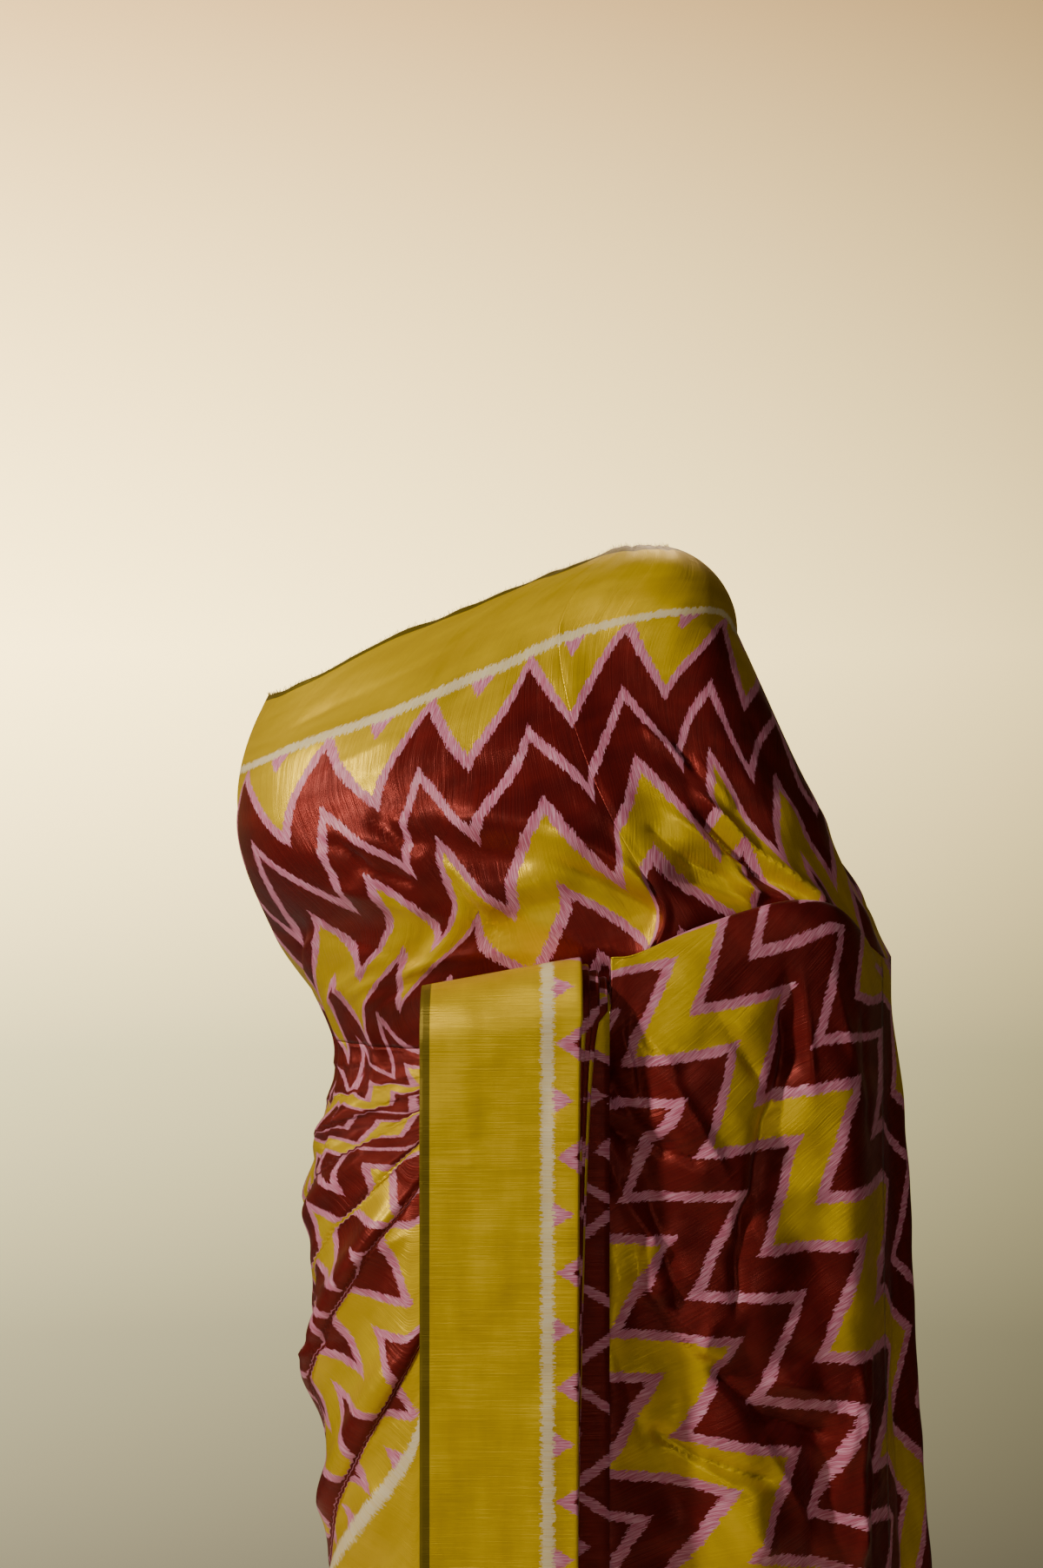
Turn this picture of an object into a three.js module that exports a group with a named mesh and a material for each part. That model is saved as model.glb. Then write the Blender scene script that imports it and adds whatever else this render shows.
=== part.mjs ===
// A silk saree in its worn form: one strip of cloth wound round the hips, pleated at the front,
// drawn across the chest, laid over the left shoulder and the bent left arm, and left to fall.
// Millimetres, +Z up, the front faces -Y and the wearer's left is +X.
// The model is laid out with the floor at height 0 and moved at the end, so that the origin
// is the middle of the waist, where the wearer holds it.
import * as THREE from "three";

// Driving dimensions
const CLOTH = 1.5; // wall thickness
const SEAM = 0.3; // gap between neighbouring stretches
const SIDE_GAP = 0.8; // gap where two stretches meet at an angle
const WAIST_Z = 1080;
const HEM_Z = 25;
const END_Z = 420; // height of the plain end of the hanging cloth
const WAIST_CENTRE = [-18, -15];
const SHOULDER_TOP_Z = 1467;

// Sections of a general figure, measured on the outside of the cloth
const FIGURE = [
  { z: 25, x: -2, y: 2, half: 196, front: 150, back: 150 },
  { z: 350, x: -3, y: 1, half: 160, front: 128, back: 130 },
  { z: 650, x: -4, y: 0, half: 147, front: 122, back: 124 },
  { z: 800, x: -5, y: 0, half: 160, front: 124, back: 128 },
  { z: 940, x: -6, y: -1, half: 174, front: 123, back: 130 },
  { z: 1010, x: -9, y: -5, half: 157, front: 112, back: 118 },
  { z: 1080, x: -18, y: -15, half: 134, front: 97, back: 96 },
  { z: 1160, x: -42, y: -42, half: 148, front: 114, back: 90 },
  { z: 1254, x: -60, y: -65, half: 146, front: 132, back: 92 },
  { z: 1353, x: -58, y: -45, half: 138, front: 98, back: 88 },
  { z: 1420, x: -25, y: -20, half: 112, front: 58, back: 62 },
  { z: 1467, x: 66, y: -8, half: 30, front: 6, back: 6 },
];

// The left upper arm inside the cloth, from the shoulder joint to the elbow
const SHOULDER = { x: 112, y: 2, z: 1400, r: 66 };
const ELBOW = { x: 238, y: 6, z: 1150, r: 50, fade: 0.3 };
const HULL_BLEND = 12; // how softly the cloth leaves the chest for the arm
// The middle that bearings are taken from moves from the chest towards the arm
const MIDDLE = { share: 0.45, from: 1085, to: 1200 };

const smooth = (x) => {
  const c = Math.min(1, Math.max(0, x));
  return c * c * (3 - 2 * c);
};
const mix = (a, b, k) => a + (b - a) * k;
const ramp = (x, from, to) => smooth((x - from) / (to - from));
const radians = (degrees) => (degrees * Math.PI) / 180;

// The value of a table's column at a key, on a smooth curve through its rows
function along(table, key, column, at) {
  const last = table.length - 1;
  let i = 0;
  while (i < last - 1 && at > table[i + 1][key]) i += 1;
  const [a, b] = [table[i], table[i + 1]];
  const span = b[key] - a[key];
  const k = Math.min(1, Math.max(0, (at - a[key]) / span));
  const slope = (j) => {
    const [p, q] = [table[Math.max(0, j - 1)], table[Math.min(last, j + 1)]];
    return (q[column] - p[column]) / (q[key] - p[key]);
  };
  const [k2, k3] = [k * k, k * k * k];
  return (
    (2 * k3 - 3 * k2 + 1) * a[column] +
    (k3 - 2 * k2 + k) * span * slope(i) +
    (3 * k2 - 2 * k3) * b[column] +
    (k3 - k2) * span * slope(i + 1)
  );
}

// A point of a curve given by rows of x, y and z, all with the same key column
function curveAt(table, key, at) {
  return new THREE.Vector3(
    along(table, key, "x", at),
    along(table, key, "y", at),
    along(table, key, "z", at)
  );
}

// The horizontal direction of a bearing: 0 is the front, 90 the wearer's left, 180 the back
// and 270 the wearer's right.
function towards(bearing) {
  return new THREE.Vector3(Math.sin(radians(bearing)), -Math.cos(radians(bearing)), 0);
}

// The figure's section at a height, stood off by a lift
function figureSection(z, facing, lift = 0) {
  return {
    x: along(FIGURE, "z", "x", z),
    y: along(FIGURE, "z", "y", z),
    half: along(FIGURE, "z", "half", z) + lift,
    depth: along(FIGURE, "z", facing.y < 0 ? "front" : "back", z) + lift,
  };
}

// The point of the figure's section at a bearing from its middle
function torso(z, bearing, lift = 0) {
  const facing = towards(bearing);
  const s = figureSection(z, facing, lift);
  const reach = 1 / Math.hypot(facing.x / s.half, facing.y / s.depth);
  return new THREE.Vector3(s.x, s.y, z).addScaledVector(facing, reach);
}

// The upper arm's section at a height, closing into a cap over the shoulder
function armSection(z) {
  if (z <= SHOULDER.z) {
    const k = Math.min(1, (SHOULDER.z - z) / (SHOULDER.z - ELBOW.z));
    const below = Math.max(0, ELBOW.z - z);
    return {
      x: mix(SHOULDER.x, ELBOW.x, k),
      y: mix(SHOULDER.y, ELBOW.y, k),
      r: mix(SHOULDER.r, ELBOW.r, k) - ELBOW.fade * below,
    };
  }
  const rise = Math.min(1, (z - SHOULDER.z) / (SHOULDER_TOP_Z - SHOULDER.z));
  return { x: SHOULDER.x, y: SHOULDER.y, r: SHOULDER.r * Math.sqrt(1 - rise * rise) };
}

// The cloth drawn taut round the chest and the upper arm together: its point where it faces
// a given way
function tautPoint(z, facing) {
  const s = figureSection(z, facing);
  const reach = Math.hypot(s.half * facing.x, s.depth * facing.y);
  const chest = new THREE.Vector3(
    s.x + (s.half ** 2 * facing.x) / reach,
    s.y + (s.depth ** 2 * facing.y) / reach,
    z
  );
  const arm = armSection(z);
  const sleeve = new THREE.Vector3(arm.x, arm.y, z).addScaledVector(facing, arm.r);
  const ahead = chest.dot(facing) - sleeve.dot(facing);
  const share = 1 / (1 + Math.exp(ahead / HULL_BLEND));
  const most = Math.max(chest.dot(facing), sleeve.dot(facing));
  const softened = most + HULL_BLEND * Math.log(1 + Math.exp(-Math.abs(ahead) / HULL_BLEND));
  const point = chest.lerp(sleeve, share);
  return point.addScaledVector(facing, softened - point.dot(facing));
}

// The point of that taut cloth at a bearing from the middle of the chest and the arm
function hull(z, bearing) {
  const share = MIDDLE.share * ramp(z, MIDDLE.from, MIDDLE.to);
  const arm = armSection(z);
  const middle = new THREE.Vector3(
    mix(along(FIGURE, "z", "x", z), arm.x, share),
    mix(along(FIGURE, "z", "y", z), arm.y, share),
    z
  );
  const [way, side] = [towards(bearing), towards(bearing + 90)];
  let [low, high] = [bearing - 89, bearing + 89];
  for (let i = 0; i < 24; i += 1) {
    const mid = (low + high) / 2;
    if (tautPoint(z, towards(mid)).sub(middle).dot(side) < 0) low = mid;
    else high = mid;
  }
  const point = tautPoint(z, towards(low));
  return middle.addScaledVector(way, point.clone().sub(middle).dot(way));
}

// Where along its length a fold rises and dies away, as shares
const FOLD_RISE = { from: -0.12, to: 0.2 };
const FOLD_FADE = { from: 0.75, to: 1.12 };

// The rise of a set of folds at a place of the sheet, in millimetres. Each fold runs from one
// place to another in the sheet's own two coordinates, has a half width and a height, and dies
// away at both ends. A negative height is a trough.
function folds(table, a, b) {
  let rise = 0;
  for (const f of table) {
    const [da, db] = [f.a1 - f.a0, f.b1 - f.b0];
    const length2 = da * da + db * db;
    const k = ((a - f.a0) * da + (b - f.b0) * db) / length2;
    const across = ((a - f.a0) * db - (b - f.b0) * da) / Math.sqrt(length2);
    const risen = ramp(k, FOLD_RISE.from, FOLD_RISE.to);
    const ends = risen * (1 - ramp(k, FOLD_FADE.from, FOLD_FADE.to));
    rise += f.high * ends * Math.exp(-((across / f.wide) ** 2));
  }
  return rise;
}

// A closed wall over a grid of outer points: u runs along the cloth and v from its lower edge up.
// The inner face lies one thickness behind the outer one. At a level edge it lies straight
// behind, so that the next stretch can follow above or below.
function wall(name, colour, countU, countV, outer, options = {}) {
  const { closed = false, levelLow = false, levelHigh = false } = options;
  const columns = closed ? countU : countU + 1;
  const points = [];
  for (let i = 0; i < columns; i += 1)
    for (let j = 0; j <= countV; j += 1) points.push(outer(i / countU, j / countV));
  const at = (i, j) => {
    const column = closed ? (i + columns) % columns : Math.min(columns - 1, Math.max(0, i));
    return points[column * (countV + 1) + Math.min(countV, Math.max(0, j))];
  };
  const inner = [];
  for (let i = 0; i < columns; i += 1)
    for (let j = 0; j <= countV; j += 1) {
      const alongU = at(i + 1, j).clone().sub(at(i - 1, j));
      const alongV = at(i, j + 1).clone().sub(at(i, j - 1));
      const normal = alongU.cross(alongV);
      if ((levelLow && j === 0) || (levelHigh && j === countV)) normal.z = 0;
      inner.push(at(i, j).clone().addScaledVector(normal.normalize(), -CLOTH));
    }
  const position = [...points, ...inner].flatMap((p) => [p.x, p.y, p.z]);
  const faces = [];
  const rows = countV + 1;
  const back = columns * rows;
  const quad = (a, b, c, d) => faces.push(a, b, c, a, c, d);
  const steps = closed ? columns : columns - 1;
  for (let i = 0; i < steps; i += 1) {
    const [p, q] = [i * rows, ((i + 1) % columns) * rows];
    for (let j = 0; j < countV; j += 1) {
      quad(p + j, q + j, q + j + 1, p + j + 1);
      quad(back + p + j, back + p + j + 1, back + q + j + 1, back + q + j);
    }
    quad(p, back + p, back + q, q);
    quad(p + countV, q + countV, back + q + countV, back + p + countV);
  }
  if (!closed)
    for (let j = 0; j < countV; j += 1) {
      const q = (columns - 1) * rows;
      quad(j, j + 1, back + j + 1, back + j);
      quad(q + j, back + q + j, back + q + j + 1, q + j + 1);
    }
  const geometry = new THREE.BufferGeometry();
  geometry.setAttribute("position", new THREE.Float32BufferAttribute(position, 3));
  geometry.setIndex(faces);
  geometry.computeVertexNormals();
  const material = new THREE.MeshStandardMaterial({ color: colour, roughness: 0.42 });
  const mesh = new THREE.Mesh(geometry, material);
  mesh.name = name;
  return mesh;
}

// Colours of the silk, one for each stretch's main field
const MAROON = 0x7d1f1d;
const GOLD = 0xc9a82c;

// The first turn round the hips, from the waist to the hem
const UNDER = { top: 1078, gapAtWaist: 2.4, gapBelow: 6, columns: 46, rows: 6 };
const WAISTBAND = { from: 1010, to: 1060 }; // heights where the cloth draws in to the waist

function skirtUnder() {
  const outer = (u, v) => {
    const z = mix(HEM_Z, UNDER.top, v);
    const drawn = ramp(z, WAISTBAND.from, WAISTBAND.to);
    const gap = mix(UNDER.gapBelow, UNDER.gapAtWaist, drawn);
    return torso(z, 360 * u, -CLOTH - gap);
  };
  return wall("skirt_under", MAROON, UNDER.columns, UNDER.rows, outer, { closed: true });
}

// The knife pleats tucked into the waist at the front, fanning out to the hem
const PLEATS = {
  count: 7,
  overlap: 0.55, // share of a pleat's width that lies under the next
  deepAtWaist: 6,
  deepAtHem: 16,
  top: 1076,
  tucked: -1.7, // how far the waist end sits inside the figure's outline
  tuckedFrom: 0.85, // share of the height where the tuck begins
  fan: 0.8, // how early the pleats spread out on the way down
  fromWaist: -22, // angles of the first and the last pleat
  toWaist: 24,
  fromHem: -46,
  toHem: 44,
  rows: 6,
};

// The section of one pleat: how far along it, and how far proud of the skirt
const PLEAT_SECTION = [
  { step: 0.0, proud: 0.0 },
  { step: 0.5, proud: 0.42 },
  { step: 1.0, proud: 0.8 },
  { step: 1.4, proud: 1.0 },
  { step: 1.55, proud: 0.86 },
  { step: 1.35, proud: 0.45 },
];

function frontPleats() {
  const perPleat = PLEAT_SECTION.length;
  const steps = PLEATS.count * perPleat;
  const outer = (u, v) => {
    const i = Math.round(u * steps);
    const section = PLEAT_SECTION[i % perPleat];
    const share = (Math.floor(i / perPleat) + section.step) / (PLEATS.count + PLEATS.overlap);
    const z = mix(HEM_Z, PLEATS.top, v);
    const spread = (1 - v) ** PLEATS.fan;
    const from = mix(PLEATS.fromWaist, PLEATS.fromHem, spread);
    const to = mix(PLEATS.toWaist, PLEATS.toHem, spread);
    const deep = mix(PLEATS.deepAtWaist, PLEATS.deepAtHem, 1 - v);
    const base = mix(CLOTH + SEAM, PLEATS.tucked, ramp(v, PLEATS.tuckedFrom, 1));
    return torso(z, mix(from, to, share), base + deep * section.proud);
  };
  return wall("front_pleats", GOLD, steps, PLEATS.rows, outer);
}

// How far the cloth stands off the figure where it crosses the front pleats
const OVER_PLEATS = { lift: 15, from: 292, to: 316, fadeFrom: 1110, fadeTo: 1200 };

function figureCloth(z, angle) {
  const fade = 1 - ramp(z, OVER_PLEATS.fadeFrom, OVER_PLEATS.fadeTo);
  return torso(z, angle, OVER_PLEATS.lift * ramp(angle, OVER_PLEATS.from, OVER_PLEATS.to) * fade);
}

// The border panel hangs from the hand on a plane: along it from the cloth's lower selvedge,
// and behind it towards the body.
const PANEL = { x: 35, y: -243, alongX: 0.905, alongY: 0.425, width: 110, topLow: 1137, topHigh: 1157 };
const HAND_RADIUS = 40; // of the cloth's outer layer over the hand
const GATHER = { from: 4, to: 134, behind: 82.4, z: 1116 }; // where the cloth comes up behind the hand

function panelPoint(across, behind, z) {
  return new THREE.Vector3(
    PANEL.x + PANEL.alongX * across - PANEL.alongY * behind,
    PANEL.y + PANEL.alongY * across + PANEL.alongX * behind,
    z
  );
}

// Lower selvedge of the second turn, climbing from the hem to the hand
const LOWER_EDGE = [
  { angle: 24, z: 25 },
  { angle: 200, z: 25 },
  { angle: 235, z: 70 },
  { angle: 265, z: 205 },
  { angle: 292, z: 370 },
  { angle: 315, z: 480 },
  { angle: 352, z: 600 },
  { angle: 384, z: 780 },
];
const HIP = { from: 26, fromHem: 47, to: 384, leaveAt: 350, rows: 20, columns: 46 };
const HIP_TUCK = { lean: 0.8, smoothTop: 0.08 }; // how the tucked end leans, and the plain top
// Columns lie closer together at the right front, where the folds run
const HIP_COLUMNS = [
  { u: 0.0, share: 0.0 },
  { u: 0.46, share: 0.7 },
  { u: 0.88, share: 0.92 },
  { u: 1.0, share: 1.0 },
];

// Folds of the second turn: places are angles in degrees and heights, sizes are millimetres
const HIP_FOLDS = [
  { a0: 296, b0: 985, a1: 338, b1: 1050, wide: 13, high: 8 },
  { a0: 295, b0: 925, a1: 344, b1: 1015, wide: 14, high: 9 },
  { a0: 300, b0: 790, a1: 346, b1: 965, wide: 15, high: 13 },
  { a0: 308, b0: 700, a1: 350, b1: 860, wide: 14, high: 10 },
  { a0: 296, b0: 590, a1: 346, b1: 760, wide: 16, high: 9 },
  { a0: 236, b0: 860, a1: 288, b1: 965, wide: 20, high: 8 },
  { a0: 226, b0: 700, a1: 284, b1: 880, wide: 22, high: 7 },
  { a0: 205, b0: 520, a1: 262, b1: 760, wide: 24, high: 9 },
  { a0: 196, b0: 260, a1: 222, b1: 640, wide: 24, high: 8 },
  { a0: 120, b0: 60, a1: 116, b1: 620, wide: 20, high: 9 },
  { a0: 82, b0: 60, a1: 86, b1: 540, wide: 18, high: 8 },
  { a0: 160, b0: 60, a1: 150, b1: 700, wide: 22, high: 10 },
];
const PER_DEGREE = 2.4; // millimetres of cloth for each degree round the hips

function foldsRound(table, angle, z) {
  const scaled = table.map((f) => ({ ...f, a0: f.a0 * PER_DEGREE, a1: f.a1 * PER_DEGREE }));
  return folds(scaled, angle * PER_DEGREE, z);
}

// The seam between the hips and the chest, from the back round to the hand
function waistLine(angle) {
  const leave = ramp(angle, HIP.leaveAt, HIP.to);
  const onFigure = figureCloth(WAIST_Z, angle);
  return onFigure.lerp(panelPoint(GATHER.to, GATHER.behind, GATHER.z), leave);
}

function hipWrap() {
  const outer = (u, v) => {
    const share = along(HIP_COLUMNS, "u", "share", u);
    const startAt = (z) => mix(HIP.fromHem, HIP.from, (z / WAIST_Z) ** HIP_TUCK.lean);
    const angleAt = (z) => mix(startAt(z), HIP.to, share);
    const low = along(LOWER_EDGE, "angle", "z", angleAt(HEM_Z));
    const z = mix(low, WAIST_Z - SEAM, v);
    const angle = angleAt(z);
    const leave = ramp(angle, HIP.leaveAt, HIP.to);
    const point = figureCloth(z, angle);
    const top = ramp(1 - v, 0, HIP_TUCK.smoothTop);
    point.addScaledVector(towards(angle), foldsRound(HIP_FOLDS, angle, z) * top);
    const held = panelPoint(mix(GATHER.from, GATHER.to, v), GATHER.behind, GATHER.z - SEAM);
    return point.lerp(held, leave);
  };
  return wall("hip_wrap", GOLD, HIP.columns, HIP.rows, outer, { levelHigh: true });
}

// Upper selvedge, from the waist at the back round to the front of the left shoulder
const UPPER_EDGE = [
  { angle: 160, z: 1105 },
  { angle: 200, z: 1190 },
  { angle: 235, z: 1290 },
  { angle: 262, z: 1340 },
  { angle: 285, z: 1352 },
  { angle: 298, z: 1355 },
  { angle: 308, z: 1373 },
  { angle: 318, z: 1401 },
  { angle: 332, z: 1421 },
  { angle: 348, z: 1443 },
  { angle: 362, z: 1450 },
  { angle: 374, z: 1461 },
  { angle: 390, z: 1465 },
];
const CHEST = { from: 164, to: 390, columns: 40, rows: 16 };
const CHEST_PLAIN = { low: 0.12, high: 0.1 }; // plain shares along the lower and upper edges
const CHEST_FOLDS = [
  { a0: 300, b0: 1280, a1: 350, b1: 1350, wide: 15, high: 4 },
  { a0: 318, b0: 1240, a1: 372, b1: 1310, wide: 16, high: -5 },
  { a0: 330, b0: 1175, a1: 378, b1: 1235, wide: 15, high: 6 },
  { a0: 292, b0: 1160, a1: 345, b1: 1190, wide: 15, high: -5 },
  { a0: 205, b0: 1110, a1: 262, b1: 1230, wide: 18, high: 6 },
];

// Rows of the chest and the shoulder lie closer together towards the upper selvedge
const ROW_BIAS = 0.35;
const rowShare = (v) => mix(v, Math.sin((v * Math.PI) / 2), ROW_BIAS);

function chestDrape() {
  const outer = (u, v) => {
    const angle = mix(CHEST.from, CHEST.to, u);
    const foot = waistLine(angle);
    const top = along(UPPER_EDGE, "angle", "z", angle);
    const z = mix(foot.z, top, rowShare(v));
    const lean = foot.clone().sub(hull(foot.z, angle));
    const point = hull(z, angle).addScaledVector(lean, (1 - rowShare(v)) ** 2);
    const edges = ramp(v, 0, CHEST_PLAIN.low) * ramp(1 - v, 0, CHEST_PLAIN.high);
    return point.addScaledVector(towards(angle), foldsRound(CHEST_FOLDS, angle, z) * edges);
  };
  return wall("chest_drape", MAROON, CHEST.columns, CHEST.rows, outer, { levelLow: true });
}

// The line where the cloth from the chest meets the cloth over the forearm, at the bottom of
// the hollow between them, then round the elbow and on behind the arm to the upper selvedge
const ARM_LINE = [
  { u: 0.0, angle: 30, x: 123, y: -115, z: 1116 },
  { u: 0.1, angle: 35, x: 136, y: -94, z: 1104 },
  { u: 0.2, angle: 42, x: 160, y: -68, z: 1102 },
  { u: 0.3, angle: 52, x: 194, y: -54, z: 1122 },
  { u: 0.4, angle: 66, x: 234, y: -48, z: 1164 },
  { u: 0.46, angle: 77, x: 257, y: -36, z: 1180 },
  { u: 0.5, angle: 90, x: 277, y: -8, z: 1170 },
  { u: 0.54, angle: 102, x: 290, y: 25, z: 1150 },
  { u: 0.7, angle: 130, x: 276, y: 82, z: 1148 },
  { u: 0.85, angle: 152, x: 212, y: 108, z: 1148 },
  { u: 1.0, angle: 170, x: 138, y: 96, z: 1148 },
];
// Upper selvedge over the shoulder, from its front to its back
const SHOULDER_EDGE = [
  { u: 0.0, z: 1465 },
  { u: 0.5, z: 1466 },
  { u: 0.8, z: 1464 },
  { u: 1.0, z: 1450 },
];
const ARM = { columns: 26, rows: 16, sideGapBy: 0.1, hangFrom: 0.44, hangTo: 0.58 };
const ELBOW_AT = 0.54; // where the elbow lies on that line
const FALL_FLARE = 2; // how late the falls spread out

function shoulderDrape() {
  const outer = (u, v) => {
    const angle = along(ARM_LINE, "u", "angle", u);
    const foot = curveAt(ARM_LINE, "u", u);
    const top = along(SHOULDER_EDGE, "u", "z", u);
    const z = mix(foot.z, top, rowShare(v));
    const taut = hull(z, angle);
    const lean = foot.clone().sub(hull(foot.z, angle));
    taut.addScaledVector(lean, (1 - rowShare(v)) ** 2);
    taut.addScaledVector(towards(angle + 90), SIDE_GAP * (1 - ramp(u, 0, ARM.sideGapBy)));
    if (z >= SHOULDER.z) return taut;
    const k = (SHOULDER.z - z) / (SHOULDER.z - foot.z);
    const hanging = hull(SHOULDER.z, angle).lerp(foot, k);
    return taut.lerp(hanging, ramp(u, ARM.hangFrom, ARM.hangTo));
  };
  return wall("shoulder_drape", MAROON, ARM.columns, ARM.rows, outer, { levelLow: true });
}

// The cloth over the forearm: its crest, and the plain end far below
const CREST = [
  { a: 0.0, x: 144, y: -158, z: 1158 },
  { a: 0.14, x: 158, y: -148, z: 1160 },
  { a: 0.35, x: 193, y: -120, z: 1178 },
  { a: 0.6, x: 236, y: -86, z: 1194 },
  { a: 0.74, x: 260, y: -66, z: 1197 },
  { a: 0.84, x: 277, y: -44, z: 1190 },
  { a: 0.93, x: 288, y: -12, z: 1166 },
  { a: 1.0, x: 291, y: 24, z: 1136 },
];
const FIELD_END = [
  { a: 0.0, x: 118, y: -152 },
  { a: 0.5, x: 222, y: -78 },
  { a: 1.0, x: 300, y: 46 },
];
const FIELD = { columns: 34, rows: 26, overTop: 0.8, drop: 34, dropAtElbow: 12, dip: 1.15 };
const FIELD_BULGE = { size: 9, from: 0.1, full: 0.35, fade: 0.86 }; // over the forearm
const FIELD_PLAIN = 0.08; // plain share along each edge of the front fall
const FIELD_FOLDS = [
  { a0: 8, b0: 1120, a1: 46, b1: 1010, wide: 13, high: -7 },
  { a0: 34, b0: 1110, a1: 92, b1: 980, wide: 18, high: 9 },
  { a0: 84, b0: 1080, a1: 168, b1: 880, wide: 24, high: 8 },
  { a0: 176, b0: 1150, a1: 172, b1: 1040, wide: 17, high: -7 },
  { a0: 224, b0: 1090, a1: 222, b1: 430, wide: 17, high: 7 },
  { a0: 196, b0: 830, a1: 190, b1: 430, wide: 16, high: -9 },
  { a0: 128, b0: 820, a1: 140, b1: 430, wide: 20, high: 11 },
  { a0: 74, b0: 900, a1: 80, b1: 430, wide: 17, high: -10 },
  { a0: 30, b0: 960, a1: 34, b1: 430, wide: 14, high: 9 },
];
const FIELD_LENGTH = 262; // from the pleats to the elbow along the forearm

// A cloth edge that hangs from a top to a low point, flaring by a power of the way down
function hang(top, low, down, power) {
  const flare = down ** power;
  return new THREE.Vector3(
    mix(top.x, low.x, flare),
    mix(top.y, low.y, flare),
    mix(top.z, low.z, down)
  );
}

const FIELD_SIDE = new THREE.Vector3(0.77, -0.63, 0); // the way the hanging cloth faces

function frontFall() {
  const outer = (u, v) => {
    const crest = curveAt(CREST, "a", u);
    const x = along(FIELD_END, "a", "x", u);
    const end = new THREE.Vector3(x, along(FIELD_END, "a", "y", u), END_Z);
    const inside = curveAt(ARM_LINE, "u", u * ELBOW_AT).addScaledVector(FIELD_SIDE, SIDE_GAP);
    inside.z -= SEAM * 2 * ramp(u, 0.7, 1);
    const grown = ramp(u, FIELD_BULGE.from, FIELD_BULGE.full);
    const bulge = FIELD_BULGE.size * grown * (1 - ramp(u, FIELD_BULGE.fade, 1));
    const edge = crest.clone().addScaledVector(FIELD_SIDE, bulge);
    edge.z -= mix(FIELD.drop, FIELD.dropAtElbow, ramp(u, 0.8, 1));
    if (v <= FIELD.overTop) {
      const down = 1 - v / FIELD.overTop;
      const point = hang(edge, end, down, mix(1, FALL_FLARE, ramp(u, 0.6, 1)));
      const plain = ramp(u, 0, FIELD_PLAIN) * ramp(1 - u, 0, FIELD_PLAIN);
      const rise = folds(FIELD_FOLDS, u * FIELD_LENGTH, point.z) * ramp(down, 0, FIELD_PLAIN);
      return point.addScaledVector(FIELD_SIDE, rise * plain);
    }
    const turn = ((v - FIELD.overTop) / (1 - FIELD.overTop)) * Math.PI;
    if (turn < Math.PI / 2) {
      const point = edge.clone().lerp(crest, 1 - Math.cos(turn));
      point.z = mix(edge.z, crest.z, Math.sin(turn));
      return point;
    }
    const over = (2 * turn) / Math.PI - 1;
    const point = crest.clone().lerp(inside, over);
    point.z = mix(crest.z, inside.z, over ** FIELD.dip);
    return point;
  };
  return wall("front_fall", MAROON, FIELD.columns, FIELD.rows, outer);
}

// The border panel and the accordion pleats behind its right edge, held at the hand
const BORDER = { rows: 12, overTop: 0.7, layer: 4.5, between: 1.2, turn: 2, endTurn: 180 };
const BORDER_LAST = { across: 133.6, behind: 6 }; // the stack's last edge, beside the front fall
const BORDER_PLEATS = [
  { tip: 110, tipEnd: 106, left: 62 },
  { tip: 115, tipEnd: 109, left: 66 },
  { tip: 124, tipEnd: 112, left: 70 },
  { tip: 132, tipEnd: 115, left: 74 },
];

// The section of the pleated stack, as places across and behind the panel
function borderSection(low) {
  const section = [
    { across: 0, behind: 0 },
    { across: 40, behind: 0 },
    { across: 80, behind: 0 },
  ];
  let behind = 0;
  for (const p of BORDER_PLEATS) {
    const tip = mix(p.tip, p.tipEnd, low);
    section.push({ across: tip - BORDER.turn, behind });
    section.push({ across: tip, behind: behind + BORDER.layer / 2 });
    behind += BORDER.layer;
    section.push({ across: tip - BORDER.turn, behind });
    section.push({ across: p.left + 1, behind });
    section.push({ across: p.left, behind: behind + BORDER.between / 2 });
    behind += BORDER.between;
    section.push({ across: p.left + 1, behind });
  }
  section.push({ across: BORDER_LAST.across, behind: behind + BORDER_LAST.behind });
  return section;
}

function borderFall() {
  const columns = borderSection(0).length - 1;
  const outer = (u, v) => {
    const i = Math.round(u * columns);
    const hangs = v <= BORDER.overTop;
    const k = hangs ? v / BORDER.overTop : 1;
    const { across, behind } = borderSection((1 - k) ** 0.5)[i];
    const radius = HAND_RADIUS - behind;
    const top = mix(PANEL.topLow, PANEL.topHigh, across / PANEL.width) - HAND_RADIUS;
    if (hangs) return panelPoint(across, behind, mix(END_Z, top, k));
    const turn = radians(((v - BORDER.overTop) / (1 - BORDER.overTop)) * BORDER.endTurn);
    const point = panelPoint(across, HAND_RADIUS - radius * Math.cos(turn), top);
    point.z += radius * Math.sin(turn);
    return point;
  };
  return wall("border_fall", GOLD, columns, BORDER.rows, outer);
}

// The cloth that falls behind the arm, from the elbow round to the upper selvedge
const BACK_END = [
  { b: 0.0, x: 300, y: 47 },
  { b: 0.25, x: 314, y: 130 },
  { b: 0.5, x: 286, y: 196 },
  { b: 0.75, x: 214, y: 206 },
  { b: 1.0, x: 146, y: 158 },
];
const BACK = { columns: 18, rows: 12, faceFrom: 105, faceTo: 170 };
const BACK_PLAIN = { side: 0.1, top: 0.15 }; // plain shares at its front edge and its top
const BACK_FOLDS = [
  { a0: 40, b0: 1100, a1: 62, b1: 430, wide: 16, high: 13 },
  { a0: 92, b0: 1120, a1: 120, b1: 430, wide: 15, high: -10 },
  { a0: 150, b0: 1080, a1: 176, b1: 430, wide: 17, high: 12 },
  { a0: 205, b0: 1120, a1: 232, b1: 430, wide: 14, high: -9 },
];
const BACK_LENGTH = 250;

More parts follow.
